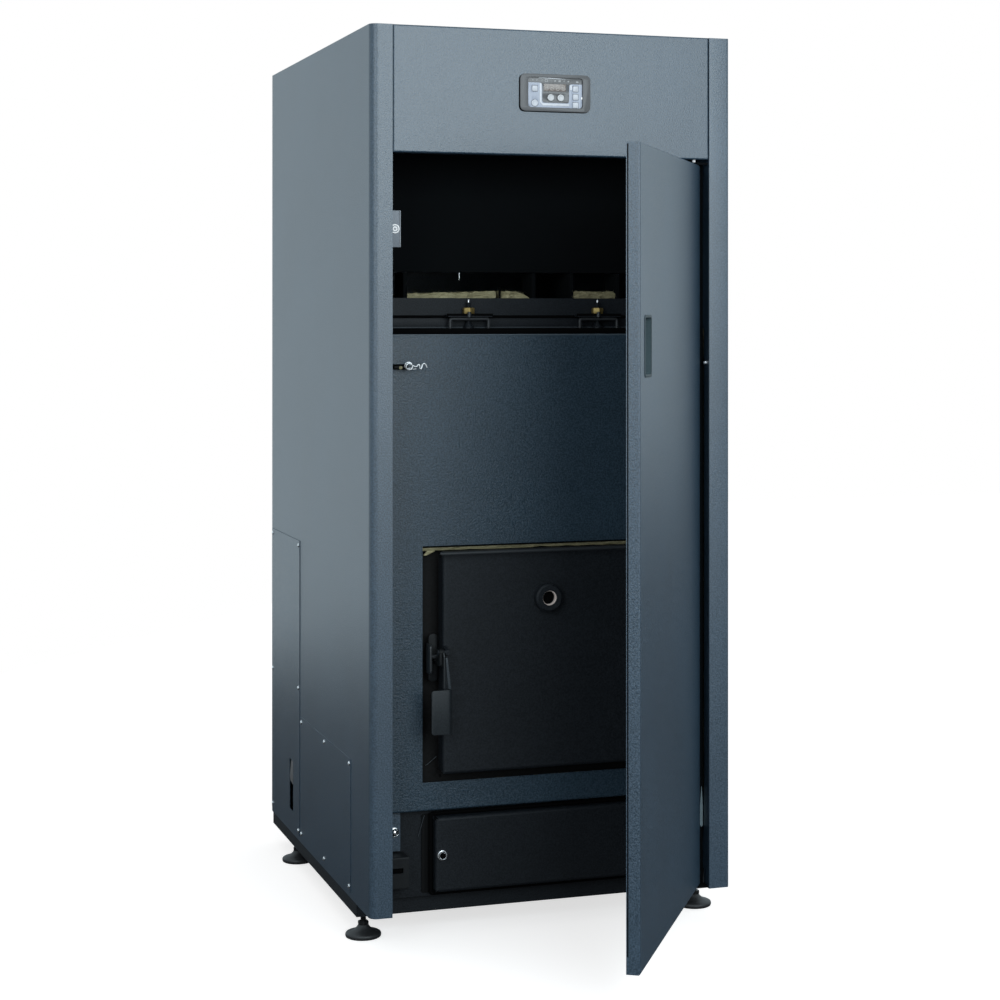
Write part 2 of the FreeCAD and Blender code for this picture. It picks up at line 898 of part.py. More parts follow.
flange_edge = -(half_width - S.flange_width)
catch_left = flange_edge + S.seat_gap
catch_high = fascia_bottom - S.catch_drop
catch_low = catch_high - S.catch_length
catch_bracket = new_body("catch_bracket")
catch_plate = rect(
    catch_left,
    catch_left + S.catch_width,
    catch_low,
    catch_high,
)
add(catch_bracket, "Y", behind(S.catch_setback), S.sheet, catch_plate)
catch_fold = rect(
    catch_left,
    catch_left + S.sheet,
    catch_low,
    catch_high,
)
catch_start = S.flange_lip - S.fascia_depth / 2
add(catch_bracket, "Y", behind(catch_start), S.catch_setback - catch_start, catch_fold)
parts.append(catch_bracket)

magnet_z = (catch_low + catch_high) / 2
catch_magnet = new_body("catch_magnet")
magnet_x = catch_left + S.sheet + S.seat_gap + S.magnet_radius
magnet_start = behind(S.catch_setback - S.magnet_proud)
tube(catch_magnet, "Y", magnet_start, S.magnet_proud, magnet_x, magnet_z, S.magnet_radius)
parts.append(catch_magnet)

plate_front = behind(S.panel_setback + S.panel_depth)
side_bracket = new_body("side_bracket")
bracket_right = flange_edge + S.bracket_reach
bracket_low = up(S.bracket_height)
bracket_high = bracket_low + S.bracket_length
bracket_front = plate_front - S.bracket_depth
slot_middle = (bracket_low + bracket_high) / 2 + S.bracket_slot_rise
bracket_slot = rect(
    flange_edge + S.bracket_slot_end,
    bracket_right - S.bracket_slot_end,
    slot_middle - S.bracket_slot_width / 2,
    slot_middle + S.bracket_slot_width / 2,
)
bracket_sheet = rect(flange_edge, bracket_right, bracket_low, bracket_high)
add(side_bracket, "Y", bracket_front, S.bracket_wall, bracket_sheet, bracket_slot)
for low in (bracket_low, bracket_high - S.bracket_wall):
    bracket_fold = rect(flange_edge, bracket_right, low, low + S.bracket_wall)
    add(side_bracket, "Y", bracket_front, S.bracket_depth, bracket_fold)
for edge_z in (bracket_low, bracket_high):
    round_edges(
        side_bracket,
        S.bend_radius * 0.9,
        lambda e, z=edge_z: along(e, "X") and passes(e, y=bracket_front, z=z),
    )
parts.append(side_bracket)

# Bolts: a hexagon head with its washer on the left tab, a small head on the lip of the right flange

tab_front = behind(S.tab_setback)
bolt_x = -(half_width - S.tab_reach) - S.bolt_inset
bolt_z = up(S.tab_height + S.tab_length / 2)
bolt_hexagon = [
    (
        bolt_x + S.bolt_corner * round(math.cos(math.radians(60 * k)), 6),
        bolt_z + S.bolt_corner * round(math.sin(math.radians(60 * k)), 6),
    )
    for k in range(6)
]
tab_bolt = new_body("TabBolt")
tube(tab_bolt, "Y", tab_front - S.bolt_washer, S.bolt_washer, bolt_x, bolt_z, S.bolt_washer_radius)
add(tab_bolt, "Y", tab_front - S.bolt_washer - S.bolt_head, S.bolt_head, bolt_hexagon)
lip_bolt = new_body("LipBolt")
lip_start = half_width - S.flange_width - S.lip_bolt_head
lip_z = up(S.lip_bolt_height)
tube(lip_bolt, "X", lip_start, S.lip_bolt_head, behind(S.lip_bolt_setback), lip_z, S.lip_bolt_radius)
parts.append(group("front_bolts", [tab_bolt, lip_bolt]))

# Inner front panel round the fire door, hung on a tongue with a spring clip

panel_half = S.panel_width / 2
panel_front = behind(S.panel_setback)
tongue_left = -(S.tongue_offset + S.tongue_width / 2)
tongue_right = -(S.tongue_offset - S.tongue_width / 2)
tongue_low = up(S.tongue_height) - S.tongue_thick / 2
inner_front_panel = new_body("inner_front_panel")
panel_low, panel_high = up(S.panel_bottom), up(S.panel_top)
panel_bounds = (-panel_half, panel_half, panel_low, panel_high)
tray(inner_front_panel, "Y", panel_front, S.panel_depth, *panel_bounds, S.sheet)
bend_rim(inner_front_panel, panel_front, S.sheet, S.bend_radius, *panel_bounds)
fire_opening = rect(-S.opening_width / 2, S.opening_width / 2, up(S.opening_bottom), up(S.opening_top))
tongue_slot = rect(
    tongue_left - S.tongue_slot_margin,
    tongue_right + S.tongue_slot_margin,
    tongue_low - S.tongue_slot_margin,
    tongue_low + S.tongue_thick + S.tongue_slot_margin,
)
cut(inner_front_panel, "Y", panel_front, S.sheet, fire_opening, tongue_slot)
parts.append(inner_front_panel)

clip_x = tongue_right - S.clip_wire * 2 + S.clip_radius
clip_y = panel_front - S.tongue_proud / 2
clip_z = up(S.tongue_height)


def wire_section(centre_u, centre_v):
    """A six-sided section of the clip's wire round a point."""
    corners = []
    for k in range(6):
        across = round(math.cos(math.radians(60 * k)), 6)
        along_v = round(math.sin(math.radians(60 * k)), 6)
        corners.append((centre_u + S.clip_wire * across, centre_v + S.clip_wire * along_v))
    return corners


hairpin_clip = turned("hairpin_clip", wire_section(S.clip_radius, 0))
leg_start = S.clip_radius * 0.87
leg_length = S.clip_leg
for offset in (-S.clip_wire * 2, S.clip_wire * 2):
    add(hairpin_clip, "X", leg_start, leg_length, wire_section(offset, 0))
place(hairpin_clip, clip_x, clip_y, clip_z, axis="X", angle=90)
parts.append(hairpin_clip)

# Pressure vessel: water jacket, firebox, flue tubes, smoke outlet and pipe sockets

jacket_half = S.jacket_width / 2
jacket_back = plate_front + S.jacket_depth
jacket_low = up(S.panel_bottom)
jacket_high = up(S.jacket_top)
firebox_half = S.firebox_width / 2
firebox_front = behind(S.firebox_setback)
firebox_back = firebox_front + S.firebox_depth
crown = up(S.firebox_top)
shaft_half = S.shaft_width / 2
shaft_back = jacket_back - S.jacket_wall
shaft_front = shaft_back - S.shaft_depth
tube_columns = [S.tube_pitch * (column - 1.5) for column in range(4)]
tube_rows = [behind(S.tube_row_setback) + S.tube_pitch * row for row in range(2)]
tube_places = [(x, y) for x in tube_columns for y in tube_rows]
throat = rect(-S.throat_width / 2, S.throat_width / 2, up(S.throat_bottom), up(S.throat_top))

water_jacket = new_body("water_jacket")
jacket_rise = jacket_high - jacket_low
jacket_plan = rect(-jacket_half, jacket_half, plate_front, jacket_back)
add(water_jacket, "Z", jacket_low, jacket_rise, jacket_plan)
plate_half = S.front_plate_width / 2
plate = rect(-plate_half, plate_half, jacket_low, jacket_high)
add(water_jacket, "Y", plate_front, S.jacket_wall, plate)
jacket_inner = rect(
    -(jacket_half - S.jacket_wall),
    jacket_half - S.jacket_wall,
    plate_front + S.jacket_wall,
    jacket_back - S.jacket_wall,
)
cut(water_jacket, "Z", jacket_low + S.jacket_wall, jacket_rise - S.jacket_wall * 2, jacket_inner)
cut(water_jacket, "Y", plate_front, S.jacket_wall, throat)
firebox_pass = rect(
    -(firebox_half + S.seat_gap),
    firebox_half + S.seat_gap,
    firebox_front - S.seat_gap,
    firebox_back + S.seat_gap,
)
cut(water_jacket, "Z", jacket_low, S.jacket_wall, firebox_pass)
tube_holes = [ring(x, y, S.tube_radius + S.seat_gap) for x, y in tube_places]
smoke_hole = rect(
    -(shaft_half - S.flue_wall),
    shaft_half - S.flue_wall,
    shaft_front + S.flue_wall,
    shaft_back - S.flue_wall,
)
cut(water_jacket, "Z", jacket_high - S.jacket_wall, S.jacket_wall, smoke_hole, *tube_holes)
rear_holes = [ring(x, z, S.socket_bore) for x, z in socket_places]
rear_holes.append(flue_hole)
cut(water_jacket, "Y", jacket_back - S.jacket_wall, S.jacket_wall, *rear_holes)
tongue = rect(tongue_left, tongue_right, tongue_low, tongue_low + S.tongue_thick)
tongue_start = panel_front - S.tongue_proud
add(water_jacket, "Y", tongue_start, plate_front - tongue_start, tongue)
clip_hole_x = clip_x - S.clip_radius
bore(water_jacket, "Z", tongue_low, S.tongue_thick, clip_hole_x, clip_y, S.clip_wire + S.seat_gap)
parts.append(water_jacket)

firebox = new_body("firebox")
firebox_rise = crown - jacket_low
firebox_plan = rect(-firebox_half, firebox_half, firebox_front, firebox_back)
add(firebox, "Z", jacket_low, firebox_rise, firebox_plan)
throat_outer = rect(
    -(S.throat_width / 2 + S.firebox_wall),
    S.throat_width / 2 + S.firebox_wall,
    up(S.throat_bottom) - S.firebox_wall,
    up(S.throat_top) + S.firebox_wall,
)
throat_start = plate_front + S.jacket_wall
throat_length = firebox_front - throat_start
add(firebox, "Y", throat_start, throat_length, throat_outer)
firebox_inner = rect(
    -(firebox_half - S.firebox_wall),
    firebox_half - S.firebox_wall,
    firebox_front + S.firebox_wall,
    firebox_back - S.firebox_wall,
)
cut(firebox, "Z", jacket_low, firebox_rise - S.firebox_wall, firebox_inner)
cut(firebox, "Y", throat_start, throat_length + S.firebox_wall, throat)
cut(firebox, "Z", crown - S.firebox_wall, S.firebox_wall, *tube_holes)
parts.append(firebox)

flue_tubes = new_body("flue_tubes")
tube_low = crown - S.firebox_wall - S.tube_proud
tube_rise = jacket_high + S.tube_proud - tube_low
tube_walls = [ring(x, y, S.tube_radius) for x, y in tube_places]
tube_bores = [ring(x, y, S.tube_radius - S.tube_wall) for x, y in tube_places]
add(flue_tubes, "Z", tube_low, tube_rise, *tube_walls, *tube_bores)
parts.append(flue_tubes)

flue_spigot = new_body("flue_spigot")
shaft_low = jacket_high - S.jacket_wall - S.shaft_drop
shaft_plan = rect(-shaft_half, shaft_half, shaft_front, shaft_back)
add(flue_spigot, "Z", shaft_low, S.shaft_drop, shaft_plan)
pipe_length = back + S.flue_proud - shaft_back
tube(flue_spigot, "Y", shaft_back, back - shaft_back, 0, flue_centre, S.flue_radius - S.flue_step)
tube(flue_spigot, "Y", back, S.flue_proud, 0, flue_centre, S.flue_radius)
shaft_inner = rect(
    -(shaft_half - S.flue_wall),
    shaft_half - S.flue_wall,
    shaft_front + S.flue_wall,
    shaft_back - S.flue_wall,
)
cut(flue_spigot, "Z", shaft_low + S.flue_wall, S.shaft_drop - S.flue_wall, shaft_inner)
pipe_start = shaft_back - S.flue_wall
pipe_bore = S.flue_radius - S.flue_wall
bore(flue_spigot, "Y", pipe_start, pipe_length + S.flue_wall, 0, flue_centre, pipe_bore)
parts.append(flue_spigot)

pipe_sockets = new_body("pipe_sockets")
socket_walls = [ring(x, z, S.socket_radius) for x, z in socket_places]
socket_bores = [ring(x, z, S.socket_bore) for x, z in socket_places]
socket_end = back + S.socket_proud
add(pipe_sockets, "Y", jacket_back, socket_end - jacket_back, *socket_walls, *socket_bores)
for x, z in socket_places:
    bore(pipe_sockets, "Y", socket_end - S.thread_length, S.thread_length, x, z, S.socket_thread)
parts.append(pipe_sockets)

# Cleaning cover over the flue tubes: collar, clamps, ribbed tray and brass nuts

collar_half = S.collar_width / 2
collar_front = behind(S.collar_setback)
collar_back = collar_front + S.collar_depth
lid_low = jacket_high + S.collar_height
clamp_y = collar_front - S.clamp_reach
clamp_xs = (-S.clamp_offset, S.clamp_offset)

flue_collar = new_body("flue_collar")
collar_outer = rect(-collar_half, collar_half, collar_front, collar_back)
collar_inner = rect(
    -(collar_half - S.collar_bar),
    collar_half - S.collar_bar,
    collar_front + S.collar_bar,
    collar_back - S.collar_bar,
)
add(flue_collar, "Z", jacket_high, S.collar_height, collar_outer, collar_inner)
block_half = S.stud_radius + S.sheet
bar_z = jacket_high + S.bridge_rise - S.bridge_rod
span = S.bridge_width + S.bridge_rod * 2
for x in clamp_xs:
    foot_block = rect(x - block_half, x + block_half, jacket_high, jacket_high + block_half)
    add(flue_collar, "Y", clamp_y - block_half, S.clamp_reach + block_half, foot_block)
    tube(flue_collar, "Z", jacket_high, S.collar_height + S.stud_rise, x, clamp_y, S.stud_radius)
    for leg_x in (x - S.bridge_width / 2, x + S.bridge_width / 2):
        tube(flue_collar, "Z", jacket_high, bar_z - jacket_high, leg_x, clamp_y, S.bridge_rod * 0.9)
    tube(flue_collar, "X", x - span / 2, span, clamp_y, bar_z, S.bridge_rod)
parts.append(flue_collar)

flue_cover = new_body("flue_cover")
lid_half = S.lid_width / 2
lid_back = collar_back + (S.lid_width - S.collar_width) / 2
tray(flue_cover, "Z", lid_low, S.lid_height, -lid_half, lid_half, collar_front, lid_back, S.lid_wall)
rib_xs = (-S.rib_left, S.rib_middle, S.rib_right, S.rib_end)
rib_front = collar_front + S.lid_wall
rib_low = lid_low + S.lid_wall
for x in rib_xs:
    rib = rect(x - S.rib_wall / 2, x + S.rib_wall / 2, rib_front, rib_front + S.rib_length)
    add(flue_cover, "Z", rib_low, up(S.rib_top) - rib_low, rib)
for x in clamp_xs:
    lug = rect(x - S.lug_width / 2, x + S.lug_width / 2, collar_front - S.lug_reach, collar_front)
    add(flue_cover, "Z", lid_low, S.lug_wall, lug, ring(x, clamp_y, S.stud_radius + S.seat_gap))
parts.append(flue_cover)

clamp_nuts = new_body("clamp_nuts")
corner = S.nut_flat / math.cos(math.radians(30))
for x in clamp_xs:
    hexagon = [
        (
            x + corner * round(math.cos(math.radians(60 * k)), 6),
            clamp_y + corner * round(math.sin(math.radians(60 * k)), 6),
        )
        for k in range(6)
    ]
    nut_bore = ring(x, clamp_y, S.stud_radius + S.running_gap)
    add(clamp_nuts, "Z", lid_low + S.lug_wall, S.nut_height, hexagon, nut_bore)
parts.append(clamp_nuts)

# Mineral wool: behind the inner panel, in the cleaning cover and beside the ash box

ash_half = S.ash_width / 2
mineral_wool = new_body("mineral_wool")
wool_half = panel_half - S.bend_radius - S.seat_gap
wool_front = panel_front + S.sheet + S.seat_gap
wool_low = up(S.panel_bottom) + S.bend_radius + S.seat_gap
wool_high = up(S.panel_top) - S.bend_radius - S.seat_gap
batt_half = S.opening_width / 2 + S.wool_peek / 3
batt_low = up(S.opening_bottom) - S.wool_peek / 3
batt_high = up(S.opening_top) - S.wool_peek
wool_tongue = rect(
    tongue_left - S.tongue_slot_margin,
    tongue_right + S.tongue_slot_margin,
    tongue_low - S.tongue_slot_margin,
    tongue_low + S.tongue_thick + S.tongue_slot_margin,
)
wool_depth = plate_front - S.seat_gap - wool_front
batts = (
    (-wool_half, wool_half, batt_high, wool_high),
    (-wool_half, -batt_half, batt_low, batt_high - S.seat_gap),
    (batt_half, wool_half, batt_low, batt_high - S.seat_gap),
    (-wool_half, wool_half, wool_low, batt_low - S.seat_gap),
)
for left, right, low, high in batts:
    add(mineral_wool, "Y", wool_front, wool_depth, rect(left, right, low, high))
cut(mineral_wool, "Y", wool_front, wool_depth, wool_tongue)
slab_low = lid_low + S.lid_wall + S.seat_gap
slab_rise = up(S.lid_wool_top) - slab_low
slab_front = collar_front + S.lid_wall + S.seat_gap
slab_back = lid_back - S.lid_wall - S.seat_gap
slab_inset = S.rib_wall / 2 + S.seat_gap
slab_bounds = (
    (rib_xs[0] + slab_inset, rib_xs[1] - slab_inset),
    (rib_xs[2] + slab_inset, rib_xs[3] - slab_inset),
)
for low, high in slab_bounds:
    add(mineral_wool, "Z", slab_low, slab_rise, rect(low, high, slab_front, slab_back))
side_low = up(S.feed_height)
side_rise = jacket_high - side_low
for sign in (-1, 1):
    near_x = sign * (ash_half + S.seat_gap)
    far_x = sign * (inside - S.seat_gap * 10)
    slab = rect(near_x, far_x, plate_front + S.jacket_wall + S.seat_gap, jacket_back)
    add(mineral_wool, "Z", side_low, side_rise, slab)
parts.append(mineral_wool)

# Fire door frame with its hinge pins, and the latch keeper

hinge_x = S.fire_door_width / 2 + S.hinge_gap
hinge_y = behind(S.hinge_setback)
frame_outer_half = S.throat_width / 2 + S.frame_bar
frame_start = plate_front - S.frame_depth
fire_door_frame = new_body("fire_door_frame")
frame_outer = rect(
    -frame_outer_half,
    frame_outer_half,
    up(S.throat_bottom) - S.frame_bar,
    up(S.throat_top) + S.frame_bar,
)
add(fire_door_frame, "Y", frame_start, S.frame_depth, frame_outer, throat)
hinge_zs = (up(S.hinge_low), up(S.hinge_high))
knuckle_half = S.knuckle_height / 2
arm_start = frame_outer_half - S.frame_bar / 2
arm_bend = S.fire_door_width / 2 + S.fire_door_wall
for z in hinge_zs:
    arm = [
        (arm_start, frame_start),
        (arm_bend, frame_start),
        (hinge_x - S.knuckle_radius, hinge_y),
        (hinge_x + S.knuckle_radius, hinge_y),
        (hinge_x + S.knuckle_radius, plate_front),
        (arm_start, plate_front),
    ]
    add(fire_door_frame, "Z", z - knuckle_half, knuckle_half, arm)
    tube(fire_door_frame, "Z", z - knuckle_half, knuckle_half, hinge_x, hinge_y, S.knuckle_radius)
    tube(fire_door_frame, "Z", z, knuckle_half, hinge_x, hinge_y, S.hinge_pin)
parts.append(fire_door_frame)

keeper_left = -(S.keeper_offset + S.keeper_width / 2)
keeper_right = -(S.keeper_offset - S.keeper_width / 2)
keeper_front = frame_start - S.keeper_wall
pin_y = behind(S.keeper_pin_setback)
pin_z = up(S.keeper_pin_height)
latch_keeper = new_body("latch_keeper")
keeper_low, keeper_high = up(S.keeper_bottom), up(S.keeper_top)
keeper_plate = rect(keeper_left, keeper_right, keeper_low, keeper_high)
add(latch_keeper, "Y", keeper_front, S.keeper_wall, keeper_plate)
ends = (keeper_low, keeper_high)
round_edges(
    latch_keeper,
    S.keeper_width / 2 - S.running_gap,
    lambda e: along(e, "Y") and any(passes(e, z=z) for z in ends),
)
web_margin = S.keeper_width
web = rect(keeper_left, keeper_left + S.keeper_wall, keeper_low + web_margin, keeper_high - web_margin)
add(latch_keeper, "Y", keeper_front, plate_front - keeper_front, web)
cheek = rect(
    keeper_left - S.keeper_wall,
    keeper_left,
    keeper_low + web_margin,
    keeper_high - web_margin,
)
cheek_start = pin_y - S.keeper_pin_radius * 2
add(latch_keeper, "Y", cheek_start, keeper_front + S.keeper_wall - cheek_start, cheek)
pin_length = S.keeper_width - S.seat_gap * 5
tube(latch_keeper, "X", keeper_left, pin_length, pin_y, pin_z, S.keeper_pin_radius)
head_start = keeper_left + pin_length - S.sheet
tube(latch_keeper, "X", head_start, S.sheet, pin_y, pin_z, S.keeper_pin_radius + S.sheet)
parts.append(latch_keeper)

# Fire door: folded pan, insulating board, rope seal and sight glass

fire_half = S.fire_door_width / 2
fire_low, fire_high = up(S.fire_door_bottom), up(S.fire_door_top)
fire_face = behind(S.door_face_setback)
fire_rim = fire_face + S.fire_door_depth
sight_z = up(S.sight_height)
latch_y = behind(S.latch_setback)
latch_z = up(S.latch_height)
fire_door_pan = new_body("fire_door_pan")
fire_bounds = (-fire_half, fire_half, fire_low, fire_high)
tray(fire_door_pan, "Y", fire_face, S.fire_door_depth, *fire_bounds, S.fire_door_wall)
bend_rim(fire_door_pan, fire_face, S.fire_door_wall, S.fire_bend, *fire_bounds)
notches = [
    rect(x - S.fire_notch, x + S.fire_notch, z - S.fire_notch, z + S.fire_notch)
    for x in (-fire_half, fire_half)
    for z in (fire_low, fire_high)
]
notch_start = fire_face + S.fire_door_wall
cut(fire_door_pan, "Y", notch_start, S.fire_door_depth - S.fire_door_wall, *notches)
bore(fire_door_pan, "Y", fire_face, S.fire_door_wall, 0, sight_z, S.sight_bore)
for z in hinge_zs:
    knuckle_low = z + S.seat_gap
    knuckle_rise = knuckle_half - S.seat_gap
    leaf = rect(fire_half - S.fire_door_wall, hinge_x, fire_face, fire_face + S.fire_door_wall * 3)
    add(fire_door_pan, "Z", knuckle_low, knuckle_rise, leaf)
    tube(fire_door_pan, "Z", knuckle_low, knuckle_rise, hinge_x, hinge_y, S.knuckle_radius)
    bore(fire_door_pan, "Z", knuckle_low, knuckle_rise, hinge_x, hinge_y, S.hinge_pin + S.running_gap)
latch_lug_right = -fire_half + S.latch_plate * 1.2
lug_side = [
    (latch_y - S.latch_pin, latch_z - S.latch_pin),
    (fire_face + S.fire_door_wall, latch_z - S.latch_eye),
    (fire_face + S.fire_door_wall, latch_z + S.latch_eye),
    (latch_y - S.latch_pin, latch_z + S.latch_pin),
]
add(fire_door_pan, "X", -fire_half, latch_lug_right + fire_half, lug_side)
lever_right = -fire_half - S.seat_gap * 5
lever_mid = lever_right - S.latch_plate
lever_left = lever_mid - S.latch_plate
pivot_end = lever_left - S.seat_gap * 2
tube(fire_door_pan, "X", pivot_end, -fire_half - pivot_end, latch_y, latch_z, S.latch_pin)
tube(fire_door_pan, "X", pivot_end - S.sheet, S.sheet, latch_y, latch_z, S.latch_pin + S.sheet)
parts.append(fire_door_pan)

board_half = fire_half - S.fire_bend
board_start = fire_face + S.fire_door_wall
fire_door_board = new_body("fire_door_board")
board_low = fire_low + S.fire_bend
board_high = fire_high - S.fire_bend
board = rect(-board_half, board_half, board_low, board_high)
add(fire_door_board, "Y", board_start, S.board_thick, board, ring(0, sight_z, S.sight_bore))
bore(fire_door_board, "Y", board_start, S.glass_thick + S.seat_gap, 0, sight_z, S.glass_radius + S.seat_gap)
parts.append(fire_door_board)

gasket_half = S.throat_width / 2 + S.frame_bar - S.sheet
gasket_low = up(S.throat_bottom) - S.frame_bar + S.sheet
gasket_high = up(S.throat_top) + S.frame_bar - S.sheet
gasket_start = board_start + S.board_thick
fire_door_gasket = new_body("fire_door_gasket")
gasket_outer = rect(-gasket_half, gasket_half, gasket_low, gasket_high)
gasket_inner = rect(
    -(gasket_half - S.gasket_width),
    gasket_half - S.gasket_width,
    gasket_low + S.gasket_width,
    gasket_high - S.gasket_width,
)
gasket_depth = frame_start - S.seat_gap - gasket_start
add(fire_door_gasket, "Y", gasket_start, gasket_depth, gasket_outer, gasket_inner)
round_edges(fire_door_gasket, S.gasket_width / 2, lambda e: along(e, "Y"))
parts.append(fire_door_gasket)

sight_socket = turned(
    "sight_socket",
    [
        (S.sight_bore, 0),
        (S.sight_radius, 0),
        (S.sight_radius, S.sight_proud - S.sheet * 2),
        (S.sight_radius - S.sheet * 2, S.sight_proud),
        (S.sight_bore, S.sight_proud),
    ],
)
place(sight_socket, 0, fire_face, sight_z, axis="X", angle=90)
parts.append(sight_socket)

sight_glass = new_body("sight_glass")
tube(sight_glass, "Y", board_start, S.glass_thick, 0, sight_z, S.glass_radius)
parts.append(sight_glass)

# Latch lever: hook plate, strap and stay round the pivot, with a moulded grip

grip_low, grip_high = up(S.grip_bottom), up(S.grip_top)
grip_front = behind(S.grip_setback)
grip_left = -(S.grip_offset + S.grip_width / 2)
grip_right = -(S.grip_offset - S.grip_width / 2)
pin_back = pin_y + S.keeper_pin_radius - latch_y
pin_low = latch_z - pin_z + S.keeper_pin_radius
hook_top = latch_z - pin_low - S.seat_gap * 2.5
hook_seat = hook_top - S.seat_gap * 10
hook_low = hook_seat - S.latch_plate
nose_start = latch_y + pin_back
nose_end = nose_start + S.latch_plate * 1.2
latch_lever = new_body("latch_lever")
tube(latch_lever, "X", lever_left, S.latch_plate * 2, latch_y, latch_z, S.latch_eye)
hook = [
    (latch_y - S.latch_eye, latch_z),
    (latch_y - S.latch_eye, hook_low),
    (nose_end, hook_low),
    (nose_end, hook_top),
    (nose_start, hook_top),
    (nose_start, hook_seat),
    (nose_start - S.keeper_pin_radius * 3, hook_seat),
    (latch_y + S.latch_eye, latch_z),
]
add(latch_lever, "X", lever_left, S.latch_plate, hook)
strap_front = latch_y - S.latch_eye - S.latch_plate / 2
strap = [
    (latch_y, latch_z + S.latch_eye),
    (strap_front, latch_z),
    (strap_front, grip_high),
    (strap_front + S.latch_eye, grip_high),
    (strap_front + S.latch_eye, hook_low),
    (latch_y + S.latch_eye, latch_z),
]
add(latch_lever, "X", lever_mid, S.latch_plate, strap)
stay = [
    (lever_right, latch_z),
    (lever_right, latch_z - S.latch_eye),
    (grip_right - S.latch_eye, grip_high),
    (grip_right - S.seat_gap * 10, grip_high),
    (lever_right + S.latch_plate / 2, latch_z),
]
add(latch_lever, "Y", strap_front, S.latch_plate / 2, stay)
pivot_bore = S.latch_pin + S.running_gap
bore(latch_lever, "X", lever_left, S.latch_plate * 2, latch_y, latch_z, pivot_bore)
parts.append(latch_lever)

latch_grip = new_body("latch_grip")
grip = rect(grip_left, grip_right, grip_low, grip_high)
add(latch_grip, "Y", grip_front, S.grip_depth, grip)
round_edges(latch_grip, S.sheet * 2, lambda e: along(e, "Y") or along(e, "Z") and passes(e, y=grip_front))
parts.append(latch_grip)

# Ash box with its door, lock and pan

ash_low, ash_high = up(S.ash_bottom), up(S.panel_bottom)
feed_z = up(S.feed_height)
ash_box = new_body("ash_box")
ash_plan = rect(-ash_half, ash_half, plate_front, jacket_back)
add(ash_box, "Z", ash_low, ash_high - ash_low, ash_plan)
ash_inner = rect(
    -(ash_half - S.ash_wall),
    ash_half - S.ash_wall,
    plate_front + S.ash_wall,
    jacket_back - S.ash_wall,
)
cut(ash_box, "Z", ash_low + S.ash_wall, ash_high - ash_low - S.ash_wall * 2, ash_inner)
cut(ash_box, "Z", ash_high - S.ash_wall, S.ash_wall, firebox_inner)
ash_opening = rect(
    -S.ash_opening_width / 2,
    S.ash_opening_width / 2,
    up(S.ash_opening_bottom),
    up(S.ash_opening_top),
)
cut(ash_box, "Y", plate_front, S.ash_wall, ash_opening)
rear_wall = jacket_back - S.ash_wall
air_port = S.fan_radius / 2
feed_hole = ring(0, feed_z, S.feed_radius + S.seat_gap)
cut(ash_box, "Y", rear_wall, S.ash_wall, feed_hole, ring(S.fan_offset, feed_z, air_port))
ash_hinge_x = S.ash_door_width / 2 + S.hinge_gap
ash_face = behind(S.ash_door_setback)
ash_hinge_y = ash_face + S.ash_door_depth / 2
ash_hinge_zs = (up(S.ash_hinge_low), up(S.ash_hinge_high))
for z in ash_hinge_zs:
    lug = rect(
        ash_hinge_x - S.knuckle_radius,
        ash_hinge_x + S.knuckle_radius,
        ash_hinge_y,
        plate_front,
    )
    add(ash_box, "Z", z - knuckle_half, knuckle_half, lug)
    tube(ash_box, "Z", z - knuckle_half, knuckle_half, ash_hinge_x, ash_hinge_y, S.knuckle_radius)
    tube(ash_box, "Z", z, knuckle_half, ash_hinge_x, ash_hinge_y, S.hinge_pin)
parts.append(ash_box)

ash_door_half = S.ash_door_width / 2
ash_door_low, ash_door_high = up(S.ash_door_bottom), up(S.ash_door_top)
lock_x = -S.lock_offset
lock_z = up(S.lock_height)
ash_door = new_body("ash_door")
ash_wall = S.fire_door_wall
ash_bounds = (-ash_door_half, ash_door_half, ash_door_low, ash_door_high)
tray(ash_door, "Y", ash_face, S.ash_door_depth, *ash_bounds, ash_wall)
bend_rim(
    ash_door, ash_face, ash_wall, S.fire_bend, -ash_door_half, ash_door_half, ash_door_low, ash_door_high
)
notches = [
    rect(x - S.fire_notch, x + S.fire_notch, z - S.fire_notch, z + S.fire_notch)
    for x in (-ash_door_half, ash_door_half)
    for z in (ash_door_low, ash_door_high)
]
cut(ash_door, "Y", ash_face + ash_wall, S.ash_door_depth - ash_wall, *notches)
bore(ash_door, "Y", ash_face, ash_wall, lock_x, lock_z, S.lock_shank + S.running_gap)
for z in ash_hinge_zs:
    knuckle_low = z + S.seat_gap
    knuckle_rise = knuckle_half - S.seat_gap
    leaf = rect(ash_door_half - ash_wall, ash_hinge_x, ash_face, ash_face + ash_wall * 2)
    add(ash_door, "Z", knuckle_low, knuckle_rise, leaf)
    tube(ash_door, "Z", knuckle_low, knuckle_rise, ash_hinge_x, ash_hinge_y, S.knuckle_radius)
    bore(ash_door, "Z", knuckle_low, knuckle_rise, ash_hinge_x, ash_hinge_y, S.hinge_pin + S.running_gap)
parts.append(ash_door)

ash_lock = new_body("ash_lock")
cam_start = plate_front + S.ash_wall + S.sheet
tube(ash_lock, "Y", ash_face - S.lock_proud, S.lock_proud, lock_x, lock_z, S.lock_radius)
tube(ash_lock, "Y", ash_face, cam_start - ash_face, lock_x, lock_z, S.lock_shank)
cam_half = S.cam_width / 2
cam = rect(lock_x - cam_half, lock_x + cam_half, lock_z - S.cam_length, lock_z + cam_half)
add(ash_lock, "Y", cam_start, S.frame_wall, cam)
key_half = S.lock_shank * 0.8
socket_key = rect(lock_x - key_half, lock_x + key_half, lock_z - key_half, lock_z + key_half)
cut(ash_lock, "Y", ash_face - S.lock_proud, S.lock_proud * 0.75, socket_key)
parts.append(ash_lock)

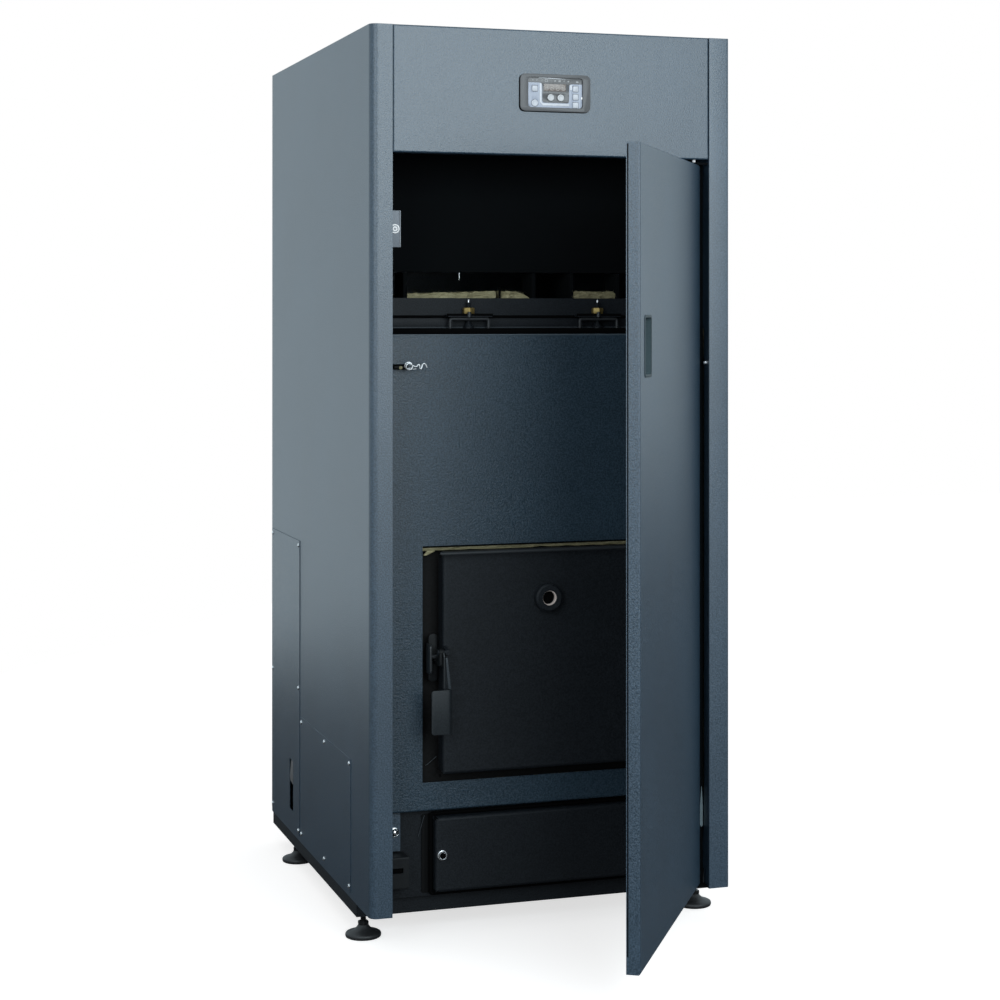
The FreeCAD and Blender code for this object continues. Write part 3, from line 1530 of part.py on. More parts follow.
pan_half = S.pan_width / 2
pan_front = behind(S.pan_setback)
pan_low = ash_low + S.ash_wall
ash_pan = new_body("ash_pan")
tray(
    ash_pan, "Z", pan_low, S.pan_height, -pan_half, pan_half, pan_front, pan_front + S.pan_depth, S.pan_wall
)
parts.append(ash_pan)

# Burner with its feed tube, screw and drive, and the combustion air fan

pot_y = behind(S.pot_setback)
feed_end = behind(S.feed_end_setback)
feed_start = pot_y - S.feed_radius
feed_bore = S.feed_radius - S.feed_wall
pot_bore = S.pot_radius - S.feed_wall
inlet_y = behind(S.inlet_setback)
inlet_bore = S.inlet_radius - S.feed_wall
burner_unit = new_body("burner_unit")
tube(burner_unit, "Y", feed_start, feed_end - feed_start, 0, feed_z, S.feed_radius)
tube(burner_unit, "Z", feed_z, S.pot_rise, 0, pot_y, S.pot_radius)
tube(burner_unit, "Z", feed_z, S.inlet_rise, 0, inlet_y, S.inlet_radius)
pot_z = feed_z + S.pot_rise
flare = angle_of(S.pot_mouth - S.pot_radius, S.pot_flare)
add(burner_unit, "Z", pot_z, S.pot_flare, ring(0, pot_y, S.pot_radius), taper=flare)
feed_hollow = feed_start + S.feed_wall
bore(burner_unit, "Y", feed_hollow, feed_end - feed_hollow, 0, feed_z, feed_bore)
bore(burner_unit, "Z", feed_z, S.pot_rise, 0, pot_y, pot_bore)
bore(burner_unit, "Z", feed_z, S.inlet_rise, 0, inlet_y, inlet_bore)
cut(burner_unit, "Z", pot_z, S.pot_flare, ring(0, pot_y, pot_bore), taper=flare)
parts.append(burner_unit)

motor_half = S.motor_size / 2
auger_gearmotor = new_body("auger_gearmotor")
motor_face = rect(-motor_half, motor_half, feed_z - motor_half, feed_z + motor_half)
add(auger_gearmotor, "Y", feed_end, S.motor_length, motor_face)
bore(auger_gearmotor, "Y", feed_end, S.motor_length / 2, 0, feed_z, S.screw_shaft + S.running_gap)
parts.append(auger_gearmotor)

FLIGHT_STEPS = 12


def make_flight():
    """A screw flight of flat facets round the feed shaft, from a formula."""
    inner_radius = S.screw_shaft.value + S.seat_gap.value
    outer_radius = S.screw_flight.value
    start = (pot_y + S.feed_radius).value
    stop = (inlet_y + S.inlet_radius).value
    thick = S.flight_thick.value
    pitch = S.flight_pitch.value
    height = feed_z.value
    count = int((stop - start - thick) / pitch * FLIGHT_STEPS)

    def corner_at(step, radius, shift):
        angle = 2 * math.pi * step / FLIGHT_STEPS
        y = start + pitch * step / FLIGHT_STEPS + shift
        return FreeCAD.Vector(radius * math.cos(angle), y, height + radius * math.sin(angle))

    def section_at(step):
        return [
            corner_at(step, inner_radius, 0),
            corner_at(step, outer_radius, 0),
            corner_at(step, outer_radius, thick),
            corner_at(step, inner_radius, thick),
        ]

    sections = [section_at(step) for step in range(count + 1)]
    faces = [Part.Face(Part.makePolygon(ends + ends[:1])) for ends in (sections[0], sections[-1])]
    for one, two in zip(sections, sections[1:]):
        for side in range(4):
            after = (side + 1) % 4
            first = [one[side], one[after], two[after], one[side]]
            second = [one[side], two[after], two[side], one[side]]
            faces += [Part.Face(Part.makePolygon(first)), Part.Face(Part.makePolygon(second))]
    solid = Part.Solid(Part.Shell(faces))
    if solid.Volume < 0:
        solid.reverse()
    return solid


flight = doc.addObject("Part::Feature", "Flight")
flight.Shape = make_flight()
screw_shaft = new_body("ScrewShaft")
shaft_start = feed_hollow + S.seat_gap
shaft_end = feed_end + S.motor_length / 2 - S.seat_gap
tube(screw_shaft, "Y", shaft_start, shaft_end - shaft_start, 0, feed_z, S.screw_shaft)
feed_auger = group("feed_auger", [screw_shaft, flight])
parts.append(feed_auger)

fan_housing = new_body("fan_housing")
fan_z = feed_z
fan_back = jacket_back + S.fan_depth
tube(fan_housing, "Y", jacket_back, S.fan_depth, S.fan_offset, fan_z, S.fan_radius)
tube(fan_housing, "Y", fan_back, S.fan_motor_length, S.fan_offset, fan_z, S.fan_motor_radius)
fan_cavity = S.fan_depth - S.feed_wall * 2
fan_bore = S.fan_radius - S.feed_wall
bore(fan_housing, "Y", jacket_back + S.feed_wall, fan_cavity, S.fan_offset, fan_z, fan_bore)
bore(fan_housing, "Y", jacket_back, S.feed_wall, S.fan_offset, fan_z, air_port)
intake_radius = (S.fan_radius - S.feed_wall - S.fan_motor_radius) / 3
intake_circle = (S.fan_radius - S.feed_wall + S.fan_motor_radius) / 2
intakes = [
    ring(
        S.fan_offset + intake_circle * round(math.cos(math.radians(90 * k)), 6),
        fan_z + intake_circle * round(math.sin(math.radians(90 * k)), 6),
        intake_radius,
    )
    for k in range(4)
]
cut(fan_housing, "Y", fan_back - S.feed_wall, S.feed_wall, *intakes)
fan_shaft_bore = S.fan_shaft + S.running_gap
shaft_hole = S.feed_wall + S.fan_motor_length / 2
bore(fan_housing, "Y", fan_back - S.feed_wall, shaft_hole, S.fan_offset, fan_z, fan_shaft_bore)
parts.append(fan_housing)

fan_impeller = new_body("fan_impeller")
wheel_start = jacket_back + S.feed_wall * 2
tube(fan_impeller, "Y", 0, S.frame_wall, 0, 0, S.fan_wheel)
tube(fan_impeller, "Y", 0, S.blade_depth, 0, 0, S.fan_shaft * 2)
blade = rect(S.fan_shaft, S.fan_wheel - S.sheet, -S.blade_wall / 2, S.blade_wall / 2)
first_blade = add(fan_impeller, "Y", 0, S.blade_depth, blade)
doc.recompute()
blades = fan_impeller.newObject("PartDesign::PolarPattern", "Blades")
blades.Originals = [first_blade]
blades.Axis = (first_blade.Profile[0], ["N_Axis"])
blades.Angle = 360
blades.Occurrences = 8
fan_impeller.Tip = blades
shaft_reach = fan_back + S.fan_motor_length / 2 - S.seat_gap - wheel_start
tube(fan_impeller, "Y", 0, shaft_reach, 0, 0, S.fan_shaft)
place(fan_impeller, S.fan_offset, wheel_start, fan_z)
parts.append(fan_impeller)

# Control unit: bezel, key plate, housing and seven keys

window_half = S.window_width / 2
window_rise = S.window_height / 2
control_bezel = new_body("control_bezel")
bezel_outer = rect(
    -S.bezel_width / 2,
    S.bezel_width / 2,
    control_centre - S.bezel_height / 2,
    control_centre + S.bezel_height / 2,
)
add(control_bezel, "Y", front - S.bezel_proud, S.bezel_proud, bezel_outer)
round_edges(control_bezel, S.bezel_radius, lambda e: along(e, "Y"))
bezel_window = rect(-window_half, window_half, control_centre - window_rise, control_centre + window_rise)
cut(control_bezel, "Y", front - S.bezel_proud, S.bezel_proud, bezel_window)
parts.append(control_bezel)

plate_y = front - S.bezel_proud + S.plate_sink
key_zone = (window_half - S.seat_gap, window_rise - S.seat_gap)
square_keys = {
    "key_menu": (-S.key_column, S.key_menu_rise),
    "key_up": (S.key_column, S.key_up_rise),
    "key_ok": (S.key_column, -S.key_ok_drop),
    "key_down": (S.key_column, -S.key_down_drop),
}
round_keys = {
    "key_power": (-S.key_column, -S.key_power_drop),
    "key_minus": (-S.key_minus_offset, -S.key_pair_drop),
    "key_plus": (S.key_plus_offset, -S.key_pair_drop),
}


def square_outline(x, z, margin):
    half = S.key_size / 2 + margin
    return rect(x - half, x + half, control_centre + z - half, control_centre + z + half)


control_plate = new_body("control_plate")
plate_outline = rect(-key_zone[0], key_zone[0], control_centre - key_zone[1], control_centre + key_zone[1])
square_holes = [square_outline(x, z, S.key_gap) for x, z in square_keys.values()]
round_holes = [ring(x, control_centre + z, S.key_radius + S.key_gap) for x, z in round_keys.values()]
add(control_plate, "Y", plate_y, S.plate_thick, plate_outline, *square_holes, *round_holes)
parts.append(control_plate)

key_depth = S.plate_thick + S.key_proud
for label, (x, z) in square_keys.items():
    key = new_body(label)
    add(key, "Y", plate_y - S.key_proud, key_depth, square_outline(x, z, 0))
    parts.append(key)
for label, (x, z) in round_keys.items():
    key = new_body(label)
    tube(key, "Y", plate_y - S.key_proud, key_depth, x, control_centre + z, S.key_radius)
    parts.append(key)

control_box = new_body("control_box")
box_start = plate_y + S.plate_thick
box_outline = rect(-box_half, box_half, control_centre - box_rise, control_centre + box_rise)
add(control_box, "Y", box_start, S.control_depth, box_outline)
key_room = rect(
    -(window_half - S.sheet * 2),
    window_half - S.sheet * 2,
    control_centre - window_rise + S.sheet,
    control_centre + window_rise - S.sheet,
)
cut(control_box, "Y", box_start, S.key_travel * 2, key_room)
parts.append(control_box)

# Every object is checked, then each sub-part is written under its own name.
doc.recompute()
for item in doc.Objects:
    if "Invalid" in item.State or "Error" in item.State:
        raise RuntimeError(f"{item.Label} failed: {item.State}")
for part in parts:
    if part.Shape.isNull() or not part.Shape.isValid():
        raise RuntimeError(f"{part.Label} has no valid shape")
os.makedirs("parts", exist_ok=True)
for part in parts:
    part.Shape.exportStep(f"parts/{part.Label}.step")
print(len(parts), "sub-parts written")
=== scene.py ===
import json
import math
import random

import bmesh
import bpy
from mathutils import Matrix, Vector, noise


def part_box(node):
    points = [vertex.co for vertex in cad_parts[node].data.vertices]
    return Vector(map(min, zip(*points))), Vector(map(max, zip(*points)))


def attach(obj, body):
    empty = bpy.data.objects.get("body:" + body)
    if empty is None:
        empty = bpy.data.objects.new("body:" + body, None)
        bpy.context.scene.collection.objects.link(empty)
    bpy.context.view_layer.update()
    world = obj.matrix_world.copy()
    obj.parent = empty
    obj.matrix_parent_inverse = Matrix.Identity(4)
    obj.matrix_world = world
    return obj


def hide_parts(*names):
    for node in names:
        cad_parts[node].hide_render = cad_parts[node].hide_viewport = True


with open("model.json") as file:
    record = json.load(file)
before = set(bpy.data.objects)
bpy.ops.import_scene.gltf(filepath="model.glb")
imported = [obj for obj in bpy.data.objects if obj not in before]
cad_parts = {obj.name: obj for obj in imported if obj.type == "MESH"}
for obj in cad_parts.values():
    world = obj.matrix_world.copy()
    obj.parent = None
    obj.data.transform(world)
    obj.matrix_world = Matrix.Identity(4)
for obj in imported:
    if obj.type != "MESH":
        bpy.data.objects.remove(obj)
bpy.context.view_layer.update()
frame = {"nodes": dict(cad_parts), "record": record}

nodes = frame["nodes"]

FRONT = (0, -1, 0)
BACK = (0, 1, 0)
LEFT = (-1, 0, 0)
RIGHT = (1, 0, 0)
UP = (0, 0, 1)


# Materials

def add(tree, kind, **values):
    """A new shader node with its inputs set; an underscore stands for a space in an input's name."""
    node = tree.nodes.new("ShaderNode" + kind)
    for socket, value in values.items():
        node.inputs[socket.replace("_", " ")].default_value = value
    return node


def connect(tree, *links):
    """Links between nodes, each given as a node with its output and a node with its input."""
    for source, output, target, socket in links:
        tree.links.new(source.outputs[output], target.inputs[socket])


def surface(name, dark, light, roughness, grain, bump, metallic=0.0, depth=0.0004, spread=0.15,
            cloud=0.1, uneven=0.08, shine=0.5):
    """A painted, cast or plated surface: fine grain in colour and relief, with broad cloudiness."""
    made = bpy.data.materials.new(name)
    made.use_nodes = True
    tree = made.node_tree
    shader = tree.nodes["Principled BSDF"]
    shader.inputs["Metallic"].default_value = metallic
    shader.inputs["Specular IOR Level"].default_value = shine
    coords = add(tree, "TexCoord")
    coords.name = "coords"
    fine = add(tree, "TexNoise", Scale=grain, Detail=4.0, Roughness=0.62)
    fine.name = "fine"
    broad = add(tree, "TexNoise", Scale=6.0, Detail=5.0)
    ramp = add(tree, "ValToRGB")
    first, last = ramp.color_ramp.elements
    first.position = 0.5 - spread
    first.color = (*dark, 1)
    last.position = 0.5 + spread
    last.color = (*light, 1)
    noise_span = {"From_Min": 0.3, "From_Max": 0.7}
    shade = add(tree, "MapRange", **noise_span, To_Min=1.0 - cloud, To_Max=1.0 + cloud)
    tint = add(tree, "VectorMath")
    tint.operation = "SCALE"
    gloss = add(tree, "MapRange", **noise_span, To_Min=max(roughness - uneven, 0.02),
                To_Max=min(roughness + uneven, 1.0))
    relief = add(tree, "Bump", Strength=bump, Distance=depth)
    connect(tree, (coords, "Object", fine, "Vector"), (coords, "Object", broad, "Vector"),
            (fine, "Fac", ramp, "Fac"), (broad, "Fac", shade, "Value"), (ramp, "Color", tint, 0),
            (shade, "Result", tint, "Scale"), (tint, "Vector", shader, "Base Color"),
            (fine, "Fac", gloss, "Value"), (gloss, "Result", shader, "Roughness"),
            (fine, "Fac", relief, "Height"), (relief, "Normal", shader, "Normal"))
    return made


def layered_wool(name, dark, light):
    """Mineral wool: long fibres in thin horizontal layers, with darker pockets between them."""
    made = surface(name, dark, light, 0.95, 150, bump=0.9, depth=0.004, spread=0.2, cloud=0.25, shine=0.1)
    tree = made.node_tree
    stretch = add(tree, "Mapping", Scale=(0.35, 0.35, 2.6))
    fine = tree.nodes["fine"]
    fine.inputs["Detail"].default_value = 9.0
    fine.inputs["Distortion"].default_value = 1.4
    connect(tree, (tree.nodes["coords"], "Object", stretch, "Vector"), (stretch, "Vector", fine, "Vector"))
    return made


# Each look: dark and light of its grain, roughness, fineness of the grain, its relief, and what else differs
palette = {
    "casing_paint": ((0.008, 0.024, 0.041), (0.036, 0.066, 0.102), 0.36, 400,
                     0.52, dict(depth=0.0008, spread=0.12, shine=0.85)),
    # a lighter, glossier copy of the casing paint for the right flange's face: painted light
    "flange_lit_paint": ((0.012, 0.031, 0.051), (0.043, 0.077, 0.118), 0.36, 400,
                     0.4, dict(depth=0.0008, spread=0.12, shine=0.95)),
    # a darker, less glossy copy of the casing paint for the recessed inner front panel: painted shade
    "panel_shaded_paint": ((0.006, 0.02, 0.034), (0.03, 0.056, 0.083), 0.36, 340,
                    0.8, dict(depth=0.001, spread=0.11, shine=0.56)),
    # a pale grey-blue for the inner panel's top fold: a painted highlight on the bend
    "fold_highlight_paint": ((0.046, 0.07, 0.09), (0.066, 0.094, 0.118), 0.36, 480, 0.2, dict(shine=0.7)),
    # a far lighter copy of the casing paint for the catch bracket in its recess: painted light
    "catch_lit_paint": ((0.171, 0.1961, 0.228), (0.2166, 0.244, 0.2782), 0.4, 500, 0.15),
    # pale grey: a painted highlight on the catch's hem, and painted shade in the catch disc's grooves
    "highlight_and_shade_grey": ((0.22, 0.245, 0.275), (0.27, 0.295, 0.325), 0.4, 500, 0.15),
    "black_paint": ((0.0065, 0.0085, 0.0111), (0.0125, 0.0158, 0.02), 0.5, 420,
                    0.5, dict(depth=0.001, spread=0.1, shine=0.2)),
    # a near black, darker and duller than the black paint: painted shade on the bay panel, the hinge post and
    # the tray ribs
    "shade_black": ((0.0015, 0.002, 0.0025), (0.0025, 0.0034, 0.0042), 0.9, 500, 0.2, dict(shine=0.08)),
    "bracket": ((0.008, 0.0095, 0.011), (0.0115, 0.0135, 0.0155), 0.5, 420, 0.3, dict(shine=0.2)),
    # a lighter copy of the black paint for the fire door's top fold: a painted highlight
    "pan_fold_highlight": ((0.017, 0.02, 0.023), (0.024, 0.028, 0.032), 0.5, 420, 0.2, dict(shine=0.3)),
    "boiler_steel": ((0.004, 0.004, 0.0042), (0.008, 0.008, 0.0085), 0.6, 180, 0.3, dict(shine=0.15)),
    "zinc_steel": ((0.19, 0.205, 0.22), (0.25, 0.265, 0.28), 0.4, 240, 0.1, dict(metallic=0.25)),
    "bright_steel": ((0.62, 0.63, 0.64), (0.74, 0.75, 0.76), 0.16, 300,
                     0.04, dict(metallic=1.0, uneven=0.05)),
    "lock_steel": ((0.82, 0.84, 0.87), (0.9, 0.92, 0.95), 0.2, 300, 0.0, dict(metallic=0.78, uneven=0.03)),
    "nickel": ((0.74, 0.76, 0.78), (0.84, 0.86, 0.88), 0.2, 300, 0.0, dict(metallic=0.55, uneven=0.03)),
    "chrome": ((0.78, 0.79, 0.8), (0.88, 0.89, 0.9), 0.12, 300, 0.02, dict(metallic=1.0, uneven=0.04)),
    "aluminium": ((0.55, 0.56, 0.57), (0.68, 0.69, 0.7), 0.35, 300, 0.1, dict(metallic=1.0)),
    "foot_steel": ((0.012, 0.012, 0.013), (0.028, 0.028, 0.03), 0.35, 500, 0.1, dict(metallic=0.6)),
    "latch_steel": ((0.012, 0.0145, 0.017), (0.022, 0.026, 0.03), 0.4, 500, 0.2, dict(shine=0.4)),
    # a darker copy of the latch's black for the keeper plate, its web and the lever's hook: painted shade
    "keeper": ((0.005, 0.006, 0.007), (0.009, 0.0105, 0.012), 0.5, 500, 0.2, dict(shine=0.15)),
    # a lighter copy of the black paint: a painted highlight on the latch's diagonal stay and the collar's
    # foot bead; also the tone of the seal threads
    "stay": ((0.03, 0.038, 0.046), (0.043, 0.053, 0.062), 0.45, 500, 0.2, dict(shine=0.3)),
    # a lighter copy of the black paint: a painted sheen on the bridge rods
    "rod": ((0.026, 0.029, 0.032), (0.038, 0.042, 0.046), 0.45, 500, 0.2, dict(shine=0.3)),
    "cast_burner": ((0.03, 0.028, 0.027), (0.06, 0.056, 0.052), 0.75, 420, 0.6),
    "brass": ((0.2, 0.14, 0.045), (0.34, 0.25, 0.09), 0.5, 380, 0.2, dict(metallic=0.7)),
    "wool": ((0.17, 0.15, 0.065), (0.42, 0.38, 0.22), 0.95, 260, 0.9, dict(depth=0.003)),
    "slot_pale": ((0.085, 0.09, 0.096), (0.115, 0.121, 0.128), 0.7, 300, 0.3),
    "fibre_board": ((0.42, 0.38, 0.31), (0.6, 0.56, 0.48), 0.92, 300, 0.4),
    "ceramic": ((0.7, 0.6, 0.56), (0.84, 0.76, 0.72), 0.6, 400, 0.2),
    # a near black: painted shade on the strips, rings, plugs and dishes laid over gaps, holes and recesses;
    # also the tray pin's own black
    "gasket": ((0.0012, 0.0013, 0.0015), (0.0022, 0.0024, 0.0027), 0.9, 400, 0.2, dict(shine=0.05)),
    # three steps of near black: a painted shadow graded beside the ash door
    "felt_1": ((0.0066, 0.007, 0.0075), (0.0092, 0.0098, 0.0104), 0.9, 400, 0.3, dict(shine=0.08)),
    "felt_2": ((0.0042, 0.0046, 0.005), (0.006, 0.0065, 0.007), 0.9, 400, 0.3, dict(shine=0.08)),
    "felt_3": ((0.0024, 0.0026, 0.0028), (0.0034, 0.0037, 0.004), 0.9, 400, 0.3, dict(shine=0.08)),
    "sight_glass": ((0.003, 0.003, 0.0035), (0.005, 0.005, 0.0055), 0.3, 120, 0.02, dict(shine=0.06)),
    "black_plastic": ((0.022, 0.023, 0.025), (0.032, 0.033, 0.035), 0.42, 900, 0.2),
    "grey_plastic": ((0.09, 0.095, 0.1), (0.13, 0.135, 0.14), 0.5, 800, 0.15),
    "pale_plastic": ((0.42, 0.48, 0.58), (0.52, 0.58, 0.68), 0.4, 500, 0.05),
    "white_plastic": ((0.9, 0.905, 0.91), (0.95, 0.955, 0.96), 0.42, 500, 0.08),
    "foot_plastic": ((0.01, 0.011, 0.012), (0.018, 0.019, 0.021), 0.5, 700, 0.3),
    "grip": ((0.013, 0.0165, 0.0195), (0.019, 0.0235, 0.0275), 0.5, 420,
             0.4, dict(depth=0.0008, shine=0.25)),
    "handle": ((0.05, 0.078, 0.09), (0.064, 0.095, 0.108), 0.55, 500, 0.2, dict(shine=0.25)),
    # a darker copy of the pull's grey for its rim, whose faces catch more light: painted shade
    "handle_shaded": ((0.024, 0.04, 0.047), (0.033, 0.051, 0.059), 0.5, 500, 0.2, dict(shine=0.3)),
    # a pale blue-grey for a strip low on the hinge post: painted light seen in the hinge gap
    "slit_light": ((0.19, 0.255, 0.29), (0.225, 0.3, 0.335), 0.8, 300, 0.1, dict(shine=0.2)),
    "bezel": ((0.061, 0.064, 0.068), (0.082, 0.085, 0.09), 0.42, 900, 0.12),
    "keypad": ((0.062, 0.064, 0.068), (0.08, 0.082, 0.086), 0.3, 700, 0.05),
    "frosted": ((0.27, 0.31, 0.39), (0.33, 0.37, 0.45), 0.34, 160, 0.03),
    # pale edge lines on the frosted field: painted highlights
    "frosted_highlight": ((0.52, 0.55, 0.6), (0.6, 0.63, 0.68), 0.3, 160, 0.03),
    "display": ((0.15, 0.128, 0.118), (0.17, 0.146, 0.134), 0.18, 200, 0.02),
    "segments": ((0.225, 0.2, 0.182), (0.25, 0.224, 0.2), 0.25, 200, 0.02),
    "print": ((0.24, 0.25, 0.26), (0.32, 0.33, 0.34), 0.4, 900, 0.05),
    "key_white": ((0.44, 0.46, 0.48), (0.54, 0.56, 0.58), 0.36, 900, 0.1),
    "key_pale": ((0.44, 0.47, 0.52), (0.52, 0.55, 0.6), 0.36, 900, 0.1),
}
looks = {name: surface(name, *row[:5], **dict(*row[5:])) for name, row in palette.items()}
looks["wool_layered"] = layered_wool("wool_layered", (0.2, 0.185, 0.098), (0.5, 0.47, 0.3))
looks["wool_shaded"] = layered_wool("wool_shaded", (0.13, 0.12, 0.064), (0.32, 0.3, 0.19))
looks["wool_fibre"] = layered_wool("wool_fibre", (0.28, 0.26, 0.155), (0.52, 0.49, 0.34))

slots = {row["node"]: row["material_slot"] for row in frame["record"]["subparts"]}
# the bay panel and the hinge post take a near black, and the inner front panel a darkened casing paint: both
# painted shade
own_looks = {"bay_panel": "shade_black", "inner_front_panel": "panel_shaded_paint", "side_bracket": "bracket",
             "hinge_post": "shade_black"}
for name, node in nodes.items():
    node.data.materials.clear()
    node.data.materials.append(looks[own_looks.get(name, slots[name])])


def link(item):
    """An object put into the scene."""
    bpy.context.scene.collection.objects.link(item)
    return item


# Forms

def piece(name, mesh, slot, look=None, hides=(), body="boiler", smooth=35):
    """A finished piece of the object, riding on its body; its look is its slot's unless another is named."""
    mesh.name = name
    if smooth:
        mesh.shade_smooth()
        mesh.set_sharp_from_angle(angle=math.radians(smooth))
    mesh.materials.clear()
    mesh.materials.append(looks[look or slot])
    item = link(bpy.data.objects.new(name, mesh))
    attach(item, body)
    if hides:
        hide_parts(*hides)


def finished(form):
    """The mesh of a form, with its normals turned outward."""
    bmesh.ops.remove_doubles(form, verts=form.verts, dist=1e-7)
    bmesh.ops.recalc_face_normals(form, faces=form.faces)
    mesh = bpy.data.meshes.new("form")
    form.to_mesh(mesh)
    form.free()
    return mesh


def facing(centre, axis):
    """A frame at a centre whose own Z points along the axis."""
    aimed = Vector(axis).to_track_quat("Z", "Y").to_matrix().to_4x4()
    return Matrix.Translation(Vector(centre)) @ aimed


def upright(y):
    """A frame for flat pieces drawn in x and z, whose own Z points to the front."""
    return Matrix(((1, 0, 0, 0), (0, 0, -1, y), (0, 1, 0, 0), (0, 0, 0, 1)))


def sideways(x):
    """A frame for flat pieces drawn in y and z, whose own Z points to the right."""
    return Matrix(((0, 0, 1, x), (1, 0, 0, 0), (0, 1, 0, 0), (0, 0, 0, 1)))


def turn(form, profile, at, segments, shape=None):
    """A turned form from radius and height pairs; shape can scale each ring's radius by its angle."""
    rings = []
    for radius, height in profile:
        if radius < 1e-7:
            rings.append([form.verts.new(at @ Vector((0, 0, height)))])
            continue
        ring = []
        for k in range(segments):
            angle = 2 * math.pi * k / segments
            reach = radius * (shape(angle) if shape else 1.0)
            ring.append(form.verts.new(at @ Vector((reach * math.cos(angle), reach * math.sin(angle),
                                                    height))))
        rings.append(ring)
    for lower, upper in zip(rings, rings[1:]):
        for k in range(segments):
            corners = []
            for ring, step in ((lower, k), (lower, k + 1), (upper, k + 1), (upper, k)):
                corner = ring[step % len(ring)]
                if corner not in corners:
                    corners.append(corner)
            if len(corners) > 2:
                form.faces.new(corners)


def turned(profile, at, segments):
    """The mesh of one turned form."""
    form = bmesh.new()
    turn(form, profile, at, segments)
    return finished(form)


def spun(name, profile, place, axis, segments, slot, look=None, hides=(), body="boiler"):
    """A piece that is one turned form."""
    piece(name, turned(profile, facing(place, axis), segments), slot, look, hides, body)


THREAD_PITCH = 0.0015


def threaded(radius, low, high):
    """The profile of a threaded stem between two heights."""
    thread = [(0.86, 0.15), (1, 0.45), (1, 0.6), (0.86, 0.9)]
    profile = [(0, low), (radius * 0.82, low)]
    height = low
    while height < high - THREAD_PITCH:
        profile += [(radius * share, height + THREAD_PITCH * step) for share, step in thread]
        height += THREAD_PITCH
    return profile + [(radius * 0.8, high), (0, high)]


def rounded(points, radius, steps=5):
    """A closed outline with each of its corners rounded; radius may be one value or one per corner."""
    count = len(points)
    radii = [radius] * count if isinstance(radius, float) else radius
    outline = []
    for k in range(count):
        here = Vector(points[k])
        before = Vector(points[k - 1]) - here
        after = Vector(points[(k + 1) % count]) - here
        half = before.angle(after) / 2
        reach = min(radii[k] / math.tan(half), before.length / 2, after.length / 2)
        start = here + before.normalized() * reach
        end = here + after.normalized() * reach
        for step in range(steps + 1):
            t = step / steps
            outline.append(tuple(start.lerp(here, t).lerp(here.lerp(end, t), t)))
    return outline


def rect(left, low, right, high):
    """The four corners of a rectangle."""
    return [(left, low), (right, low), (right, high), (left, high)]


def box_outline(width, height, radius, u=0.0, v=0.0):
    """A rounded rectangle about a centre."""
    w = width / 2
    h = height / 2
    return rounded(rect(u - w, v - h, u + w, v + h), radius)


def disc_outline(radius, u=0.0, v=0.0, count=28):
    """A circle about a centre."""
    angles = [2 * math.pi * k / count for k in range(count)]
    return [(u + radius * math.cos(a), v + radius * math.sin(a)) for a in angles]


def quarter(x, y, radius, steps):
    """A quarter of a circle about a centre, seen from above, from its right to its front."""
    angles = [math.radians(90 * k / steps) for k in range(steps + 1)]
    return [(x + radius * math.cos(a), y - radius * math.sin(a)) for a in angles]


def curve_mesh(curve):
    """The mesh of a curve, which is then removed."""
    holder = bpy.data.objects.new(curve.name, curve)
    mesh = bpy.data.meshes.new_from_object(holder)
    bpy.data.objects.remove(holder)
    bpy.data.curves.remove(curve)
    return mesh


def break_edges(form, width):
    """The sharp edges of a form, broken to a width."""
    rims = [e for e in form.edges if len(e.link_faces) == 2 and e.calc_face_angle(0) > math.radians(60)]
    bmesh.ops.bevel(form, geom=rims, offset=width, segments=2, profile=0.5, affect="EDGES",
                    clamp_overlap=True)


def flat(loops, thickness, at, edge=0.0):
    """A flat form cut from outlines, the later ones being holes, with its edges broken."""
    curve = bpy.data.curves.new("outline", "CURVE")
    curve.dimensions = "2D"
    curve.fill_mode = "BOTH"
    curve.extrude = thickness / 2
    for loop in loops:
        spline = curve.splines.new("POLY")
        spline.points.add(len(loop) - 1)
        for point, (u, v) in zip(spline.points, loop):
            point.co = (u, v, 0, 1)
        spline.use_cyclic_u = True
    mesh = curve_mesh(curve)
    form = bmesh.new()
    form.from_mesh(mesh)
    bpy.data.meshes.remove(mesh)
    bmesh.ops.remove_doubles(form, verts=form.verts, dist=1e-6)
    bmesh.ops.recalc_face_normals(form, faces=form.faces)
    bmesh.ops.dissolve_limit(form, angle_limit=math.radians(2), verts=form.verts, edges=form.edges)
    if edge:
        break_edges(form, edge)
    form.transform(at @ Matrix.Translation((0, 0, thickness / 2)))
    return finished(form)


def plate(name, loops, thickness, at, slot, look=None, hides=(), edge=0.0, body="boiler"):
    """A piece that is one flat form."""
    piece(name, flat(loops, thickness, at, edge), slot, look, hides, body)


def joined(*meshes):
    """One mesh out of several."""
    form = bmesh.new()
    for mesh in meshes:
        form.from_mesh(mesh)
        bpy.data.meshes.remove(mesh)
    whole = bpy.data.meshes.new("form")
    form.to_mesh(whole)
    form.free()
    return whole


